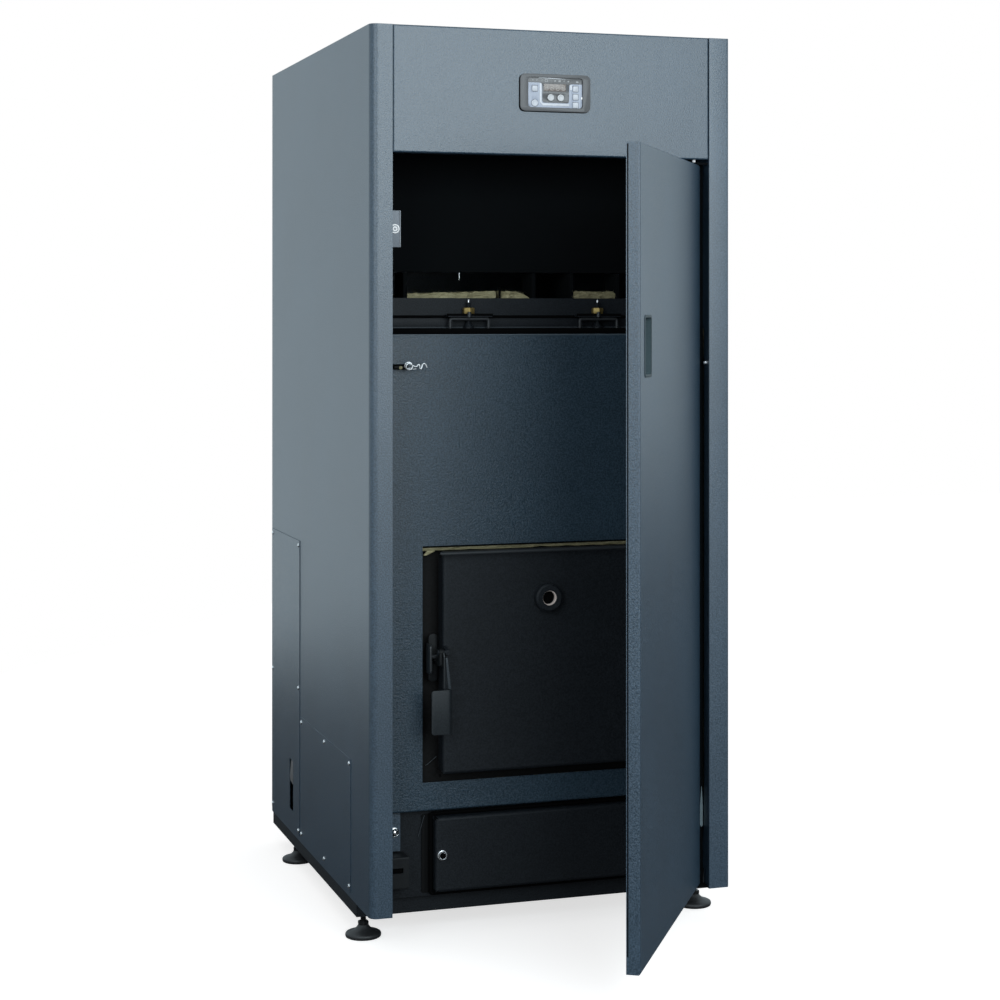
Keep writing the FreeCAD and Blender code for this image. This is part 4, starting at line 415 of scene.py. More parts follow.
def bent_sheet(path, wall, low, high, edge, corner=0.0):
    """A sheet folded along a path seen from above, between two heights, its free corners rounded."""
    spots = [Vector(place) for place in path]
    lengths = [(b - a).length for a, b in zip(spots, spots[1:])]
    total = sum(lengths)
    form = bmesh.new()
    rows = []
    gone = 0.0
    for k, spot in enumerate(spots):
        heading = (spots[min(k + 1, len(spots) - 1)] - spots[max(k - 1, 0)]).normalized()
        inner = spot + Vector((-heading.y, heading.x)) * wall
        gone += lengths[k - 1] if k else 0.0
        near = min(gone, total - gone)
        inset = corner - math.sqrt(max(corner ** 2 - (corner - near) ** 2, 0)) if near < corner else 0.0
        ring = ((spot, low + inset), (spot, high - inset), (inner, high - inset), (inner, low + inset))
        rows.append([form.verts.new((place.x, place.y, z)) for place, z in ring])
    for a, b in zip(rows, rows[1:]):
        for n in range(4):
            form.faces.new((a[n], b[n], b[(n + 1) % 4], a[(n + 1) % 4]))
    form.faces.new(rows[0])
    form.faces.new(rows[-1][::-1])
    bmesh.ops.recalc_face_normals(form, faces=form.faces)
    break_edges(form, edge)
    return finished(form)


def wire(name, points, radius, slot, look=None, hides=(), body="boiler"):
    """A bent wire or rod along a smooth line."""
    curve = bpy.data.curves.new(name, "CURVE")
    curve.dimensions = "3D"
    curve.bevel_depth = radius
    curve.bevel_resolution = 4
    curve.use_fill_caps = True
    spline = curve.splines.new("NURBS")
    spline.points.add(len(points) - 1)
    for point, place in zip(spline.points, points):
        point.co = (*place, 1)
    spline.order_u = 3
    spline.use_endpoint_u = True
    spline.resolution_u = 8
    piece(name, curve_mesh(curve), slot, look, hides, body, smooth=60)


def bead(name, left, right, y, z, radius, slot, look, body="boiler"):
    """A straight rounded fold from left to right."""
    wire(name, [(left, y, z), (right, y, z)], radius, slot, look, body=body)


def span(points):
    """The low and high corners of the box round some points."""
    return [Vector(pick(point[k] for point in points) for k in range(3)) for pick in (min, max)]


def islands(node):
    """The centre and half size of each separate solid of a node."""
    form = bmesh.new()
    form.from_mesh(nodes[node].data)
    bmesh.ops.remove_doubles(form, verts=form.verts, dist=1e-6)
    left = set(form.verts)
    found = []
    while left:
        reach = [left.pop()]
        points = []
        while reach:
            corner = reach.pop()
            points.append(corner.co)
            for edge in corner.link_edges:
                other = edge.other_vert(corner)
                if other in left:
                    left.remove(other)
                    reach.append(other)
        low, high = span(points)
        found.append(((low + high) / 2, (high - low) / 2))
    form.free()
    return sorted(found, key=lambda pair: tuple(pair[0]))


# Cover screws: domed heads with a cross recess and a thin washer

SCREW_SIDES = 36
SCREW_RINGS = 12
WASHER_REACH = 1.12


def screw_head(form, at, radius, rise):
    """A domed head whose middle carries a cross recess."""
    rim = radius * WASHER_REACH
    turn(form, [(0, 0), (rim, 0), (rim, rise * 0.16), (radius, rise * 0.2)], at, SCREW_SIDES)
    grid = []
    for ring in range(SCREW_RINGS + 1):
        reach = radius * (1 - ring / SCREW_RINGS)
        row = []
        for k in range(SCREW_SIDES):
            angle = 2 * math.pi * k / SCREW_SIDES
            u = reach * math.cos(angle)
            v = reach * math.sin(angle)
            height = rise * (0.2 + 0.8 * math.sqrt(max(1 - (reach / radius) ** 2, 0)))
            if min(abs(u), abs(v)) < radius * 0.14 and reach < radius * 0.55:
                height -= rise * 0.4
            row.append(form.verts.new(at @ Vector((u, v, height))))
        grid.append(row)
    for lower, upper in zip(grid, grid[1:]):
        for k in range(SCREW_SIDES):
            after = (k + 1) % SCREW_SIDES
            form.faces.new((lower[k], lower[after], upper[after], upper[k]))


form = bmesh.new()
for centre, half in islands("cover_screws"):
    at = facing((centre.x + half.x, centre.y, centre.z), LEFT)
    screw_head(form, at, half.z / WASHER_REACH, half.x * 2)
piece("cover_screw_heads", finished(form), "bright_steel", hides=("cover_screws",))


# Brass clamp nuts: chamfered hexagons

HEXAGON_CORNER = 1.13


def hexagon(angle):
    """The reach of a chamfered hexagon at an angle, for a unit across-flats half."""
    part = (angle + math.pi / 6) % (math.pi / 3) - math.pi / 6
    return min(1 / math.cos(part), HEXAGON_CORNER)


def nut(form, at, flats, height):
    """A hexagon nut with chamfered ends."""
    profile = [(0.55, 0), (0.93, 0), (1, 0.12), (1, 0.88), (0.93, 1), (0.55, 1), (0.5, 0.9), (0.5, 0.1),
               (0.55, 0)]
    turn(form, [(flats * u, height * v) for u, v in profile], at, 48, hexagon)


form = bmesh.new()
for centre, half in islands("clamp_nuts"):
    nut(form, facing((centre.x, centre.y, centre.z - half.z), UP), half.y, half.z * 2)
piece("clamp_nut_brass", finished(form), "brass", hides=("clamp_nuts",))


# Controller: bezel with a near-black rim behind it that is its painted shadow, dark keypad with a frosted
# field whose pale edge lines are painted highlights, unlit display, keys

low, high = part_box("control_bezel")
panel_x = (low.x + high.x) / 2
panel_z = (low.z + high.z) / 2
bezel_wide = high.x - low.x
bezel_tall = high.z - low.z
bezel_back = high.y
bezel_rise = high.y - low.y
bezel_corner = 0.0105
keypad_front = bezel_back - bezel_rise * 0.45
frosted_front = keypad_front - 0.0007


def sheet(name, outlines, thickness, back, slot, look=None, hides=(), edge=0.0):
    """A flat piece of the controller, drawn about the controller's middle."""
    loops = [[(u + panel_x, v + panel_z) for u, v in outline] for outline in outlines]
    plate(name, loops, thickness, upright(back), slot, look, hides, edge)


window = rounded(rect(-0.0498, -0.0262, 0.0498, 0.0262), [0.006, 0.006, 0.0055, 0.0055])
sheet("control_bezel_moulding", [box_outline(bezel_wide, bezel_tall, bezel_corner), window], bezel_rise,
      bezel_back, "black_plastic", "bezel", ("control_bezel",), edge=0.0011)
# a near-black rim, shifted left and down behind the bezel: painted shadow
rim = box_outline(bezel_wide + 0.0004, bezel_tall + 0.0004, bezel_corner)
seat = [(u - 0.0011, v - 0.0011) for u, v in rim]
sheet("control_shadow_rim", [seat, window], 0.0012, bezel_back, "black_plastic", "gasket", edge=0.0003)

keys = {}
for name in ("menu", "up", "ok", "down", "power", "minus", "plus"):
    low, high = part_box(f"key_{name}")
    keys[name] = ((low + high) / 2, (high - low) / 2)
round_keys = ("power", "minus", "plus")
side_keys = ("menu", "up", "ok", "down", "power")


def key_hole(name):
    """The hole round a key, drawn about the controller's middle."""
    centre, half = keys[name]
    u = centre.x - panel_x
    v = centre.z - panel_z
    if name in round_keys:
        return disc_outline(half.x + 0.0005, u, v)
    return box_outline(half.x * 2 + 0.001, half.z * 2 + 0.001, 0.0018, u, v)


keypad = [box_outline(0.1004, 0.0534, 0.004)] + [key_hole(name) for name in keys]
sheet("keypad_dark", keypad, 0.0016, keypad_front + 0.0016, "black_plastic", "keypad", ("control_plate",),
      edge=0.0001)
field = [(-0.0488, 0.0172), (-0.0488, -0.0252), (0.0488, -0.0252), (0.0488, 0.016), (0.0252, 0.016),
         (0.0252, -0.0172), (-0.0236, -0.0172), (-0.0236, 0.0172)]
field_radii = [0.0012, 0.0062, 0.0062, 0.0012, 0.0052, 0.0048, 0.0048, 0.0052]
frosted = [rounded(field, field_radii)] + [key_hole(name) for name in side_keys]
sheet("keypad_frosted_field", frosted, 0.0007, keypad_front, "pale_plastic", "frosted", edge=0.00025)
# pale lines along the frosted field's edges: painted highlights
lip = [(-0.0282, 0.016), (-0.0282, -0.016), (-0.0225, -0.0222), (0.024, -0.0222), (0.0264, -0.0196),
       (0.024, -0.0182), (-0.0232, -0.0182), (-0.0246, -0.0168), (-0.0246, 0.016)]
sheet("keypad_frosted_highlight", [rounded(lip, 0.0016)], 0.0005, frosted_front, "pale_plastic", "frosted_highlight",
      edge=0.0002)
# the same painted highlight at the field's corner
corner_lip = [(0.0268, 0.0148), (0.0268, 0.0046), (0.0306, 0.0062), (0.0306, 0.0148)]
sheet("keypad_corner_highlight", [rounded(corner_lip, 0.0014)], 0.0005, frosted_front, "pale_plastic",
      "frosted_highlight", edge=0.0002)

display_v = 0.0092
sheet("display_glass", [box_outline(0.0402, 0.0126, 0.0006, -0.0006, display_v)], 0.0004, keypad_front,
      "black_plastic", "display", edge=0.0001)


def digit(u, v):
    """The seven unlit segments of one figure of the display."""
    across = 0.0058
    rise = 0.0096
    wide = 0.001
    bars = []
    for row in (-1, 0, 1):
        bars.append(box_outline(across - wide * 1.6, wide, wide * 0.3, u, v + row * (rise - wide) / 2))
    for column in (-1, 1):
        for row in (-1, 1):
            bars.append(box_outline(wide, rise / 2 - wide * 1.4, wide * 0.3,
                                    u + column * (across - wide) / 2, v + row * (rise - wide) / 4))
    return bars


segments = [bar for k in range(4) for bar in digit(-0.0157 + 0.0101 * k, display_v)]
sheet("display_segments", segments, 0.0001, keypad_front - 0.0004, "black_plastic", "segments")

marks = [box_outline(0.002, 0.0008, 0.0003, -0.0435, 0.0212), disc_outline(0.0011, -0.0405, 0.0214, 16),
         rounded([(-0.0352, 0.0202), (-0.033, 0.0222), (-0.031, 0.0222), (-0.033, 0.0208)], 0.0003),
         rounded([(-0.025, 0.0202), (-0.0224, 0.0226), (-0.0216, 0.0226), (-0.0242, 0.0202)], 0.0002),
         box_outline(0.0052, 0.0046, 0.0008, -0.016, 0.0212),
         box_outline(0.0034, 0.0028, 0.0005, -0.016, 0.0212),
         rounded([(-0.0018, 0.0198), (0.0018, 0.0198), (0.001, 0.0224), (-0.0006, 0.0222)], 0.0004),
         box_outline(0.0042, 0.0026, 0.0008, 0.0082, 0.0208),
         rounded([(0.0148, 0.02), (0.0176, 0.0224), (0.0184, 0.022), (0.0158, 0.0196)], 0.0002),
         disc_outline(0.0014, 0.024, 0.0206, 16), box_outline(0.0044, 0.0026, 0.0011, 0.0402, 0.0202)]
sheet("keypad_marks", marks, 0.0001, keypad_front, "pale_plastic", "print")
# a pale line along the keypad's top edge: a painted highlight
gloss_strip = [(-0.03, 0.0258), (-0.005, 0.0258), (0.019, 0.0246), (0.019, 0.0242), (-0.006, 0.0248),
               (-0.03, 0.0252)]
sheet("keypad_top_highlight", [rounded(gloss_strip, 0.0001)], 0.0003, keypad_front, "pale_plastic",
      "frosted_highlight")
sheet("keypad_clip", [box_outline(0.0024, 0.0042, 0.0011, 0.0478, -0.0078)], 0.0012, frosted_front,
      "white_plastic", edge=0.0004)

key_dome = [(0, 0), (1, 0), (1, 0.82), (0.94, 0.94), (0.8, 1), (0.62, 0.985), (0.56, 0.94), (0.3, 0.93),
            (0, 0.93)]
for name, (centre, half) in keys.items():
    base = centre.y + half.y
    rise = half.y * 2
    if name in round_keys:
        profile = [(half.x * u, rise * v) for u, v in key_dome]
        mesh = turned(profile, facing((centre.x, base, centre.z), FRONT), 40)
    else:
        outline = box_outline(half.x * 2, half.z * 2, 0.0017, centre.x, centre.z)
        mesh = flat([outline], rise, upright(base), edge=0.0007)
    look = "key_white" if name in ("minus", "plus") else "key_pale"
    piece(f"key_cap_{name}", mesh, "pale_plastic", look, hides=(f"key_{name}",), body=f"key_{name}")


# Levelling feet: turned pad, threaded stem and lock nut

foot_pad = [(0, 0.0), (0.9, 0.0), (0.97, 0.0012), (1, 0.0035), (1, 0.0062), (0.965, 0.0082), (0.9, 0.0094),
            (0.7, 0.0112), (0.5, 0.0138), (0.36, 0.0175), (0.29, 0.0212), (0, 0.0212)]
for corner in ("front_left", "front_right", "rear_left", "rear_right"):
    foot = f"foot_{corner}"
    low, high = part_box(f"foot_{corner}")
    at = facing(((low.x + high.x) / 2, (low.y + high.y) / 2, low.z), UP)
    r = (high.x - low.x) / 2
    mesh = turned([(r * u, height) for u, height in foot_pad], at, 64)
    piece(f"foot_pad_{corner}", mesh, "foot_plastic", hides=(foot,), body=foot)
    form = bmesh.new()
    turn(form, threaded(radius=0.005, low=0.0205, high=high.z - low.z), at, segments=24)
    nut(form, at @ Matrix.Translation((0, 0, 0.0214)), flats=0.0085, height=0.0062)
    piece(f"foot_stem_{corner}", finished(form), "foot_plastic", "foot_steel", body=foot)


# Spring clip: a coil round the tongue's end, one straight leg and one waved leg; and the tongue's rivet

low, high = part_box("hairpin_clip")
tongue_z = (low.z + high.z) / 2
eye_r = 0.0061
eye = Vector((low.x + 0.006, low.y - 0.0085, tongue_z + 0.0009))
leg = [(0.013, 0.004, -0.004), (0.01, 0.0036, -0.0042), (0.007, 0.0024, -0.0046)]
line = [eye + Vector(step) for step in leg]
for k in range(21):
    angle = math.radians(-50 - 28.6 * k)
    line.append((eye.x + eye_r * math.cos(angle) - 0.0026 + 0.00013 * k, eye.y + 0.0016 - 0.00026 * k,
                 eye.z + eye_r * math.sin(angle) + 0.0024 - 0.00012 * k))
wave = [(0.009, -0.0006), (0.0125, 0.001), (0.0172, 0.0052), (0.0172, -0.0034), (0.0206, -0.004),
        (0.0216, 0.0034), (0.0256, 0.0062), (0.029, 0.0026), (0.03, -0.0018)]
line += [(eye.x + along, eye.y - 0.0034, eye.z + up) for along, up in wave]
wire("spring_clip_wire", line, 0.0011, "bright_steel", "nickel", hides=("hairpin_clip",))
rivet = [(0, 0), (0.003, 0), (0.0029, 0.0008), (0.0018, 0.0016), (0, 0.0018)]
spun("tongue_rivet", rivet, (low.x - 0.0085, low.y - 0.0051, eye.z - 0.0018), FRONT, 24, "bright_steel",
     "wool_layered")


# Mineral wool: layered slabs with loose fibres along their edges, a tuft in a corner, and a near-black patch
# above the tuft that is painted shade

def wool_slab(form, low, high, cell, amount, seed, slope=0.0, lean=0.0):
    """A slab with an uneven, layered skin inside its bounds; it can fall off to the right or to the left."""
    size = high - low
    counts = [max(2, round(size.x / cell)), max(2, round(size.y / (cell * 3))),
              max(2, round(size.z / cell))]
    made = {}

    def corner(i, j, k):
        """The corner at one place of the slab's grid, made when first asked for."""
        if (i, j, k) not in made:
            t = Vector((i / counts[0], j / counts[1], k / counts[2]))
            place = Vector(low[n] + size[n] * t[n] for n in range(3))
            if slope and t.x > 1 - slope:
                place.z = low.z + (place.z - low.z) * (1 - 0.36 * (t.x - 1 + slope) / slope)
            place.z -= (place.z - low.z) * lean * (1 - t.x)
            waver = Vector((0, 0, 0))
            for n in range(3):
                shift = Vector((seed + 7.3 * n, 3.1 * n, 11.7))
                swell = noise.fractal(place * 38 + shift, 0.9, 2.1, 4)
                fibre = noise.noise(Vector((place.x * 160, place.y * 160, place.z * 620)) + shift)
                waver[n] = amount * (abs(swell) * 1.1 + abs(fibre) * 0.5)
            for n in range(3):
                if t[n] < 0.01:
                    place[n] += waver[n]
                elif t[n] > 0.99:
                    place[n] -= waver[n]
            made[(i, j, k)] = form.verts.new(place)
        return made[(i, j, k)]

    for axis in range(3):
        u, v = [n for n in range(3) if n != axis]
        for side in (0, counts[axis]):
            for a in range(counts[u]):
                for b in range(counts[v]):
                    loop = []
                    for da, db in ((0, 0), (1, 0), (1, 1), (0, 1)):
                        index = [0, 0, 0]
                        index[axis] = side
                        index[u] = a + da
                        index[v] = b + db
                        loop.append(corner(*index))
                    form.faces.new(loop)


def fibres(form, low, high, count, reach, seed):
    """Loose fibres lying along and standing off a slab's upper front edge."""
    rng = random.Random(seed)
    for _ in range(count):
        place = Vector((rng.uniform(low.x, high.x), low.y + rng.uniform(0.0, 0.012),
                        high.z - rng.uniform(0.0, 0.012)))
        heading = Vector((rng.uniform(-1, 1), rng.uniform(-0.9, 0.3), rng.uniform(-0.5, 0.35))).normalized()
        bend = Vector((rng.uniform(-1, 1), rng.uniform(-0.5, 0.5), rng.uniform(-1, 0.3))) * 0.4
        long = rng.uniform(0.35, 1.0) * reach
        thick = rng.uniform(0.00008, 0.00018)
        across = heading.cross(Vector(UP)).normalized() * thick
        pairs = []
        for step in range(5):
            t = step / 4
            spot = place + (heading + bend * t * t) * long * t
            for n in range(3):
                spot[n] = min(max(spot[n], low[n] - 0.003), high[n] + 0.002)
            taper = across * (1 - 0.7 * t)
            pairs.append((form.verts.new(spot - taper), form.verts.new(spot + taper)))
        for (a, b), (c, d) in zip(pairs, pairs[1:]):
            form.faces.new((a, b, d, c))


TRAY_Z = 1.06
FIBRES = 260
FIBRE_REACH = 0.018
form = bmesh.new()
shaded = bmesh.new()
fluff = bmesh.new()
for number, (centre, half) in enumerate(islands("mineral_wool")):
    low = centre - half
    high = centre + half
    if low.z <= TRAY_Z:
        cell = 0.016 if half.z > 0.05 else 0.008
        wool_slab(shaded, low, high, cell, amount=0.002, seed=number * 5.0)
        continue
    spans = [(low.x, high.x, 0.0, 0.0)]
    if half.x > 0.08:
        split = low.x + (high.x - low.x) * 0.725
        spans = [(low.x, split - 0.002, 0.0, 0.12), (split + 0.002, high.x, 0.37, 0.0)]
    for start, end, slope, lean in spans:
        near = Vector((start, low.y, low.z))
        far = Vector((end, high.y, high.z))
        skin = form if start < 0.05 else shaded
        seed = number * 5.0 + start * 100
        wool_slab(skin, near, far, cell=0.005, amount=0.0045, seed=seed, slope=slope, lean=lean)
        level_end = Vector((end - (end - start) * slope * 0.6, far.y, far.z))
        fibres(fluff, near, level_end, FIBRES, FIBRE_REACH, seed=number + 3)
piece("wool_slabs", finished(form), "wool", "wool_layered", hides=("mineral_wool",), smooth=0)
tuft = [(-0.2128, 0.6582), (-0.2068, 0.6586), (-0.1973, 0.6632), (-0.1917, 0.6653), (-0.1917, 0.6731),
        (-0.1992, 0.6711), (-0.2049, 0.667), (-0.2087, 0.6623)]
tuft_y = -0.339
plate("wool_corner_tuft", [rounded(tuft, 0.0012)], 0.005, upright(tuft_y), "wool", "wool_layered",
      edge=0.001)
# a near-black patch above the tuft: painted shade
shade_patch = [(-0.2128, 0.675), (-0.2128, 0.6592), (-0.2087, 0.6626), (-0.2049, 0.6673), (-0.1992, 0.6714),
         (-0.193, 0.6738), (-0.193, 0.675)]
shade_patch_y = -0.3392
plate("wool_corner_shade_patch", [shade_patch], 0.001, upright(shade_patch_y), "wool", "gasket")
piece("wool_batts", finished(shaded), "wool", "wool_shaded", smooth=0)
piece("wool_fibres", finished(fluff), "wool", "wool_fibre", smooth=0)


# Catch: a ringed white disc, pressed in the bracket; grey rings laid over its groove and its middle are
# painted shade

low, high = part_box("catch_magnet")
x = (low.x + high.x) / 2
z = (low.z + high.z) / 2
r = (high.z - low.z) / 2
tall = high.y - low.y
rings = [(0, 0), (1, 0), (1, 0.7), (0.93, 1), (0.76, 1), (0.7, 0.72), (0.56, 0.72), (0.5, 0.95),
         (0.2, 0.95), (0.12, 0.5), (0, 0.5)]
spun("catch_disc", [(r * u, tall * v) for u, v in rings], (x, high.y, z), FRONT, 48, "white_plastic",
     hides=("catch_magnet",))
# grey rings over the disc's groove and its middle: painted shade
circles = [disc_outline(r * share, x, z) for share in (0.76, 0.54, 0.24)]
plate("catch_groove_shade", circles, 0.0004, upright(low.y + 0.0002), "white_plastic", "highlight_and_shade_grey")


# Bright bolts on the left tab and on the lip of the right flange

def bolt(name, place, axis, flats, height, hides=()):
    """A dome-headed bolt with a hexagon under its dome."""
    form = bmesh.new()
    at = facing(place, axis)
    foot = [(0, 0), (flats * 1.25, 0), (flats * 1.25, height * 0.14), (flats * 0.9, height * 0.18)]
    turn(form, foot, at, 36)
    turn(form, [(flats, height * 0.12), (flats, height * 0.55), (flats * 0.9, height * 0.64)], at, 48,
         hexagon)
    dome = [(flats * 0.82, height * 0.6)]
    for k in range(1, 7):
        angle = math.radians(15 * k)
        dome.append((flats * 0.82 * math.cos(angle), height * (0.6 + 0.4 * math.sin(angle))))
    turn(form, dome, at, 36)
    piece(name, finished(form), "bright_steel", "chrome", hides)


(tab, tab_half), (edge, edge_half) = islands("front_bolts")
bolt("tab_bolt", (tab.x, tab.y + tab_half.y, tab.z), FRONT, flats=0.0068, height=0.0085,
     hides=("front_bolts",))
bolt("lip_bolt", (edge.x + edge_half.x, edge.y, edge.z), LEFT, flats=0.0043, height=0.004)


# Fire door latch: keeper with its pin, hook lever with two straps, folded grip

low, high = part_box("latch_keeper")
plate_y = high.y - 0.019
plate_x = low.x + 0.004
outline = rounded(rect(plate_x, low.z, high.x, high.z), 0.0076, 8)
keeper_plate = flat([outline], 0.004, upright(plate_y), edge=0.0007)
cheek = rounded(rect(low.y, low.z + 0.016, plate_y, high.z - 0.016), [0.006, 0.001, 0.001, 0.006])
keeper_cheek = flat([cheek], 0.004, sideways(low.x), edge=0.0008)
web = rounded(rect(plate_y - 0.004, low.z + 0.018, high.y, high.z - 0.018), 0.0005)
keeper_web = flat([web], 0.004, sideways(plate_x), edge=0.0004)
pin = [(0, 0), (0.00375, 0), (0.00375, 0.0125), (0.0052, 0.0125), (0.0056, 0.0132), (0.0053, 0.0146),
       (0.0034, 0.0153), (0, 0.0155)]
keeper_pin = turned(pin, facing((low.x + 0.003, low.y + 0.0075, high.z - 0.037), RIGHT), 28)
# the keeper plate and web in the darker copy, painted shade; its cheek and pin in the latch's black
piece("keeper_with_web", joined(keeper_plate, keeper_web), "black_paint", "keeper", hides=("latch_keeper",))
piece("keeper_cheek_and_pin", joined(keeper_cheek, keeper_pin), "black_paint", "latch_steel")

low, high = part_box("latch_lever")
pivot_y = low.y + 0.0115
pivot_z = high.z - 0.009
boss = [(0, 0), (0.0056, 0), (0.0062, 0.0006), (0.0062, 0.0074), (0.0056, 0.008), (0.0042, 0.008),
        (0.004, 0.0098), (0.003, 0.0104), (0, 0.0106)]
lever_boss = turned(boss, facing((low.x, pivot_y, pivot_z), RIGHT), 36)
hook = [(pivot_y - 0.006, pivot_z), (pivot_y - 0.006, pivot_z - 0.0235), (high.y, pivot_z - 0.0235),
        (high.y, pivot_z - 0.0155), (high.y - 0.006, pivot_z - 0.0155), (high.y - 0.006, pivot_z - 0.0185),
        (high.y - 0.0172, pivot_z - 0.0185), (pivot_y + 0.009, pivot_z)]
hook_radii = [0.002, 0.004, 0.003, 0.0015, 0.0012, 0.001, 0.003, 0.003]
lever_hook = flat([rounded(hook, hook_radii)], 0.005, sideways(low.x), edge=0.0006)
piece("latch_lever_hook", joined(lever_boss, lever_hook), "black_paint", "keeper", hides=("latch_lever",),
      body="latch")
strap = [(pivot_y, pivot_z + 0.0035), (low.y + 0.003, pivot_z + 0.001), (low.y, pivot_z - 0.006),
         (low.y, low.z), (low.y + 0.0065, low.z), (low.y + 0.007, pivot_z - 0.022),
         (pivot_y + 0.006, pivot_z - 0.004)]
plate("latch_lever_strap", [rounded(strap, 0.0025)], 0.0024, sideways(low.x + 0.0058), "black_paint",
      "latch_steel", edge=0.0005, body="latch")
# the diagonal stay in the lighter grey: a painted highlight
stay = [(high.x - 0.0058, pivot_z - 0.008), (high.x - 0.0022, pivot_z - 0.008), (high.x + 0.004, low.z),
        (high.x - 0.0008, low.z)]
plate("latch_lever_stay", [rounded(stay, 0.0006)], 0.0028, upright(low.y + 0.0032), "black_paint", "stay",
      edge=0.0005, body="latch")

low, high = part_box("latch_grip")
fold = 0.0075
grip_line = [(high.x, high.y - 0.001 * k) for k in range(9)]
grip_line += quarter(high.x - fold, low.y + fold, fold, 8)
grip_line += [(low.x + 0.02, low.y)]
grip_line += [(low.x + 0.005 - 0.0007 * k, low.y) for k in range(10)]
grip_sheet = bent_sheet(grip_line[::-1], 0.003, low.z, high.z, corner=0.0048, edge=0.0006)
piece("latch_grip_fold", grip_sheet, "black_plastic", "grip", hides=("latch_grip",), body="latch")


# Fire door: the rounded fold along its top, painted lighter as a highlight, and a pale ceramic sleeve in the
# bore of its sight tube

low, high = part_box("fire_door_pan")
bead("fire_door_top_fold", low.x + 0.004, high.x - 0.004, low.y + 0.0032, high.z, 0.003, "black_paint",
     "pan_fold_highlight", body="fire_door")
low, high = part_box("sight_socket")
spot = ((low.x + high.x) / 2, low.y + 0.012, (low.z + high.z) / 2)
sleeve = [(0.0116, 0.0), (0.0127, 0.0), (0.0129, 0.0006), (0.0129, 0.0085), (0.0116, 0.0085), (0.0116, 0.0)]
spun("sight_sleeve", sleeve, spot, FRONT, 48, "fibre_board", "ceramic", body="fire_door")


# Ash door lock: bright bezel round a dark key recess, whose near-black plug is painted shade, with its cam
# behind

low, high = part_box("ash_lock")
spot = Vector(((low.x + high.x) / 2, high.y, high.z - 0.0085))
depth = high.y - low.y
bezel = [(0.0087, 0.008), (0.0087, 0.0058), (0.0083, 0.0048), (0.0074, 0.0046), (0.0072, 0.0026),
         (0.0068, 0.0008), (0.0062, 0), (0.0056, 0.0006), (0.0053, 0.0024), (0.0052, 0.0066), (0, 0.0066)]
barrel = [(0, 0), (0.005, 0), (0.005, depth - 0.008)] + [(reach, depth - sunk) for reach, sunk in bezel]
cam = rounded(rect(spot.x - 0.004, low.z, spot.x + 0.004, spot.z + 0.004), 0.0034)
lock_cam = flat([cam], 0.003, upright(high.y), edge=0.0005)
piece("lock_barrel", joined(turned(barrel, facing(spot, FRONT), 48), lock_cam), "bright_steel",
      "lock_steel", hides=("ash_lock",), body="ash_lock")
# a near-black plug in the key recess: painted shade
recess = [(0, 0.0065), (0.0051, 0.0065), (0.0051, 0.0016), (0.0047, 0.0016), (0.0045, 0.004),
          (0.0012, 0.004), (0, 0.004)]
spun("lock_recess", [(reach, depth - sunk) for reach, sunk in recess], spot, FRONT, 36, "black_plastic",
     "gasket", body="ash_lock")


# Relief holes where the folds of the two inner doors meet, drawn as shallow near-black dishes whose black is
# painted shade

def relief_holes(name, node, body):
    """A small dark dish at each folded corner of a door; its near black is painted shade standing for the
    hole.
    """
    low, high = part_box(node)
    inset = 0.0032
    right_inset = 0.028
    form = bmesh.new()
    dish = [(0.0026, 0.0), (0.0026, 0.0003), (0.0022, 0.0005), (0.0018, 0.0001), (0, 0.00005)]
    for x in (low.x + inset, high.x - right_inset):
        for z in (low.z + inset, high.z - inset):
            lean = -0.35 if x < 0 else 0.35
            turn(form, dish, facing((x, low.y + 0.0012, z), (lean, -1, 0)), 24)
    piece(name, finished(form), "black_paint", "gasket", body=body)


relief_holes("fire_door_reliefs", "fire_door_pan", "fire_door")
relief_holes("ash_door_reliefs", "ash_door", "ash_door")


# Cleaning cover's collar: frame, studs with bright ends, bent bridge rods in a lighter grey that is a painted
# sheen, near-black plates on the lugs that are painted shade, and a dark ring under the cover, partly its
# seal and partly painted shadow

def ring_flat(wide, deep, y, border, height, z):
    """A level rectangular ring with broken edges."""
    loops = [box_outline(wide, deep, 0.003, 0, y), box_outline(wide - border, deep - border, 0.002, 0, y)]
    return flat(loops, height, Matrix.Translation((0, 0, z)), edge=0.0012)


low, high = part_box("flue_collar")
front = low.y + 0.0175
clamp_y = front - 0.012
clamps = (-0.12, 0.12)
stud_tall = high.z - low.z - 0.0065
stud_foot = [(0, 0), (0.0092, 0), (0.0092, 0.0022), (0.0066, 0.0052), (0.0048, 0.0085), (0, 0.0085)]
collar = [ring_flat(high.x - low.x, high.y - front, (front + high.y) / 2, border=0.032, height=0.02, z=low.z)]
for x in clamps:
    lug = box_outline(0.011, 0.02, 0.003, x, front - 0.006)
    collar.append(flat([lug], 0.0055, Matrix.Translation((0, 0, low.z)), edge=0.0008))
    stud_at = facing((x, clamp_y, low.z), UP)
    collar.append(turned(threaded(radius=0.004, low=0.0, high=stud_tall), stud_at, 20))
    collar.append(turned(stud_foot, stud_at, 28))
piece("collar_with_studs", joined(*collar), "black_paint", hides=("flue_collar",))
bridge_half = [(-0.035, 0), (-0.035, 0.006), (-0.035, 0.0093), (-0.035, 0.0163), (-0.028, 0.0163),
               (-0.018, 0.0163)]
bridge = bridge_half + [(-u, v) for u, v in bridge_half[::-1]]
stud_end = [(0, 0), (0.0017, 0), (0.0017, 0.0034), (0.0012, 0.0048), (0, 0.0052)]
prong = [(0, 0), (0.004, 0), (0.004, 0.005), (0.0034, 0.0066), (0.003, 0.0092), (0, 0.0095)]
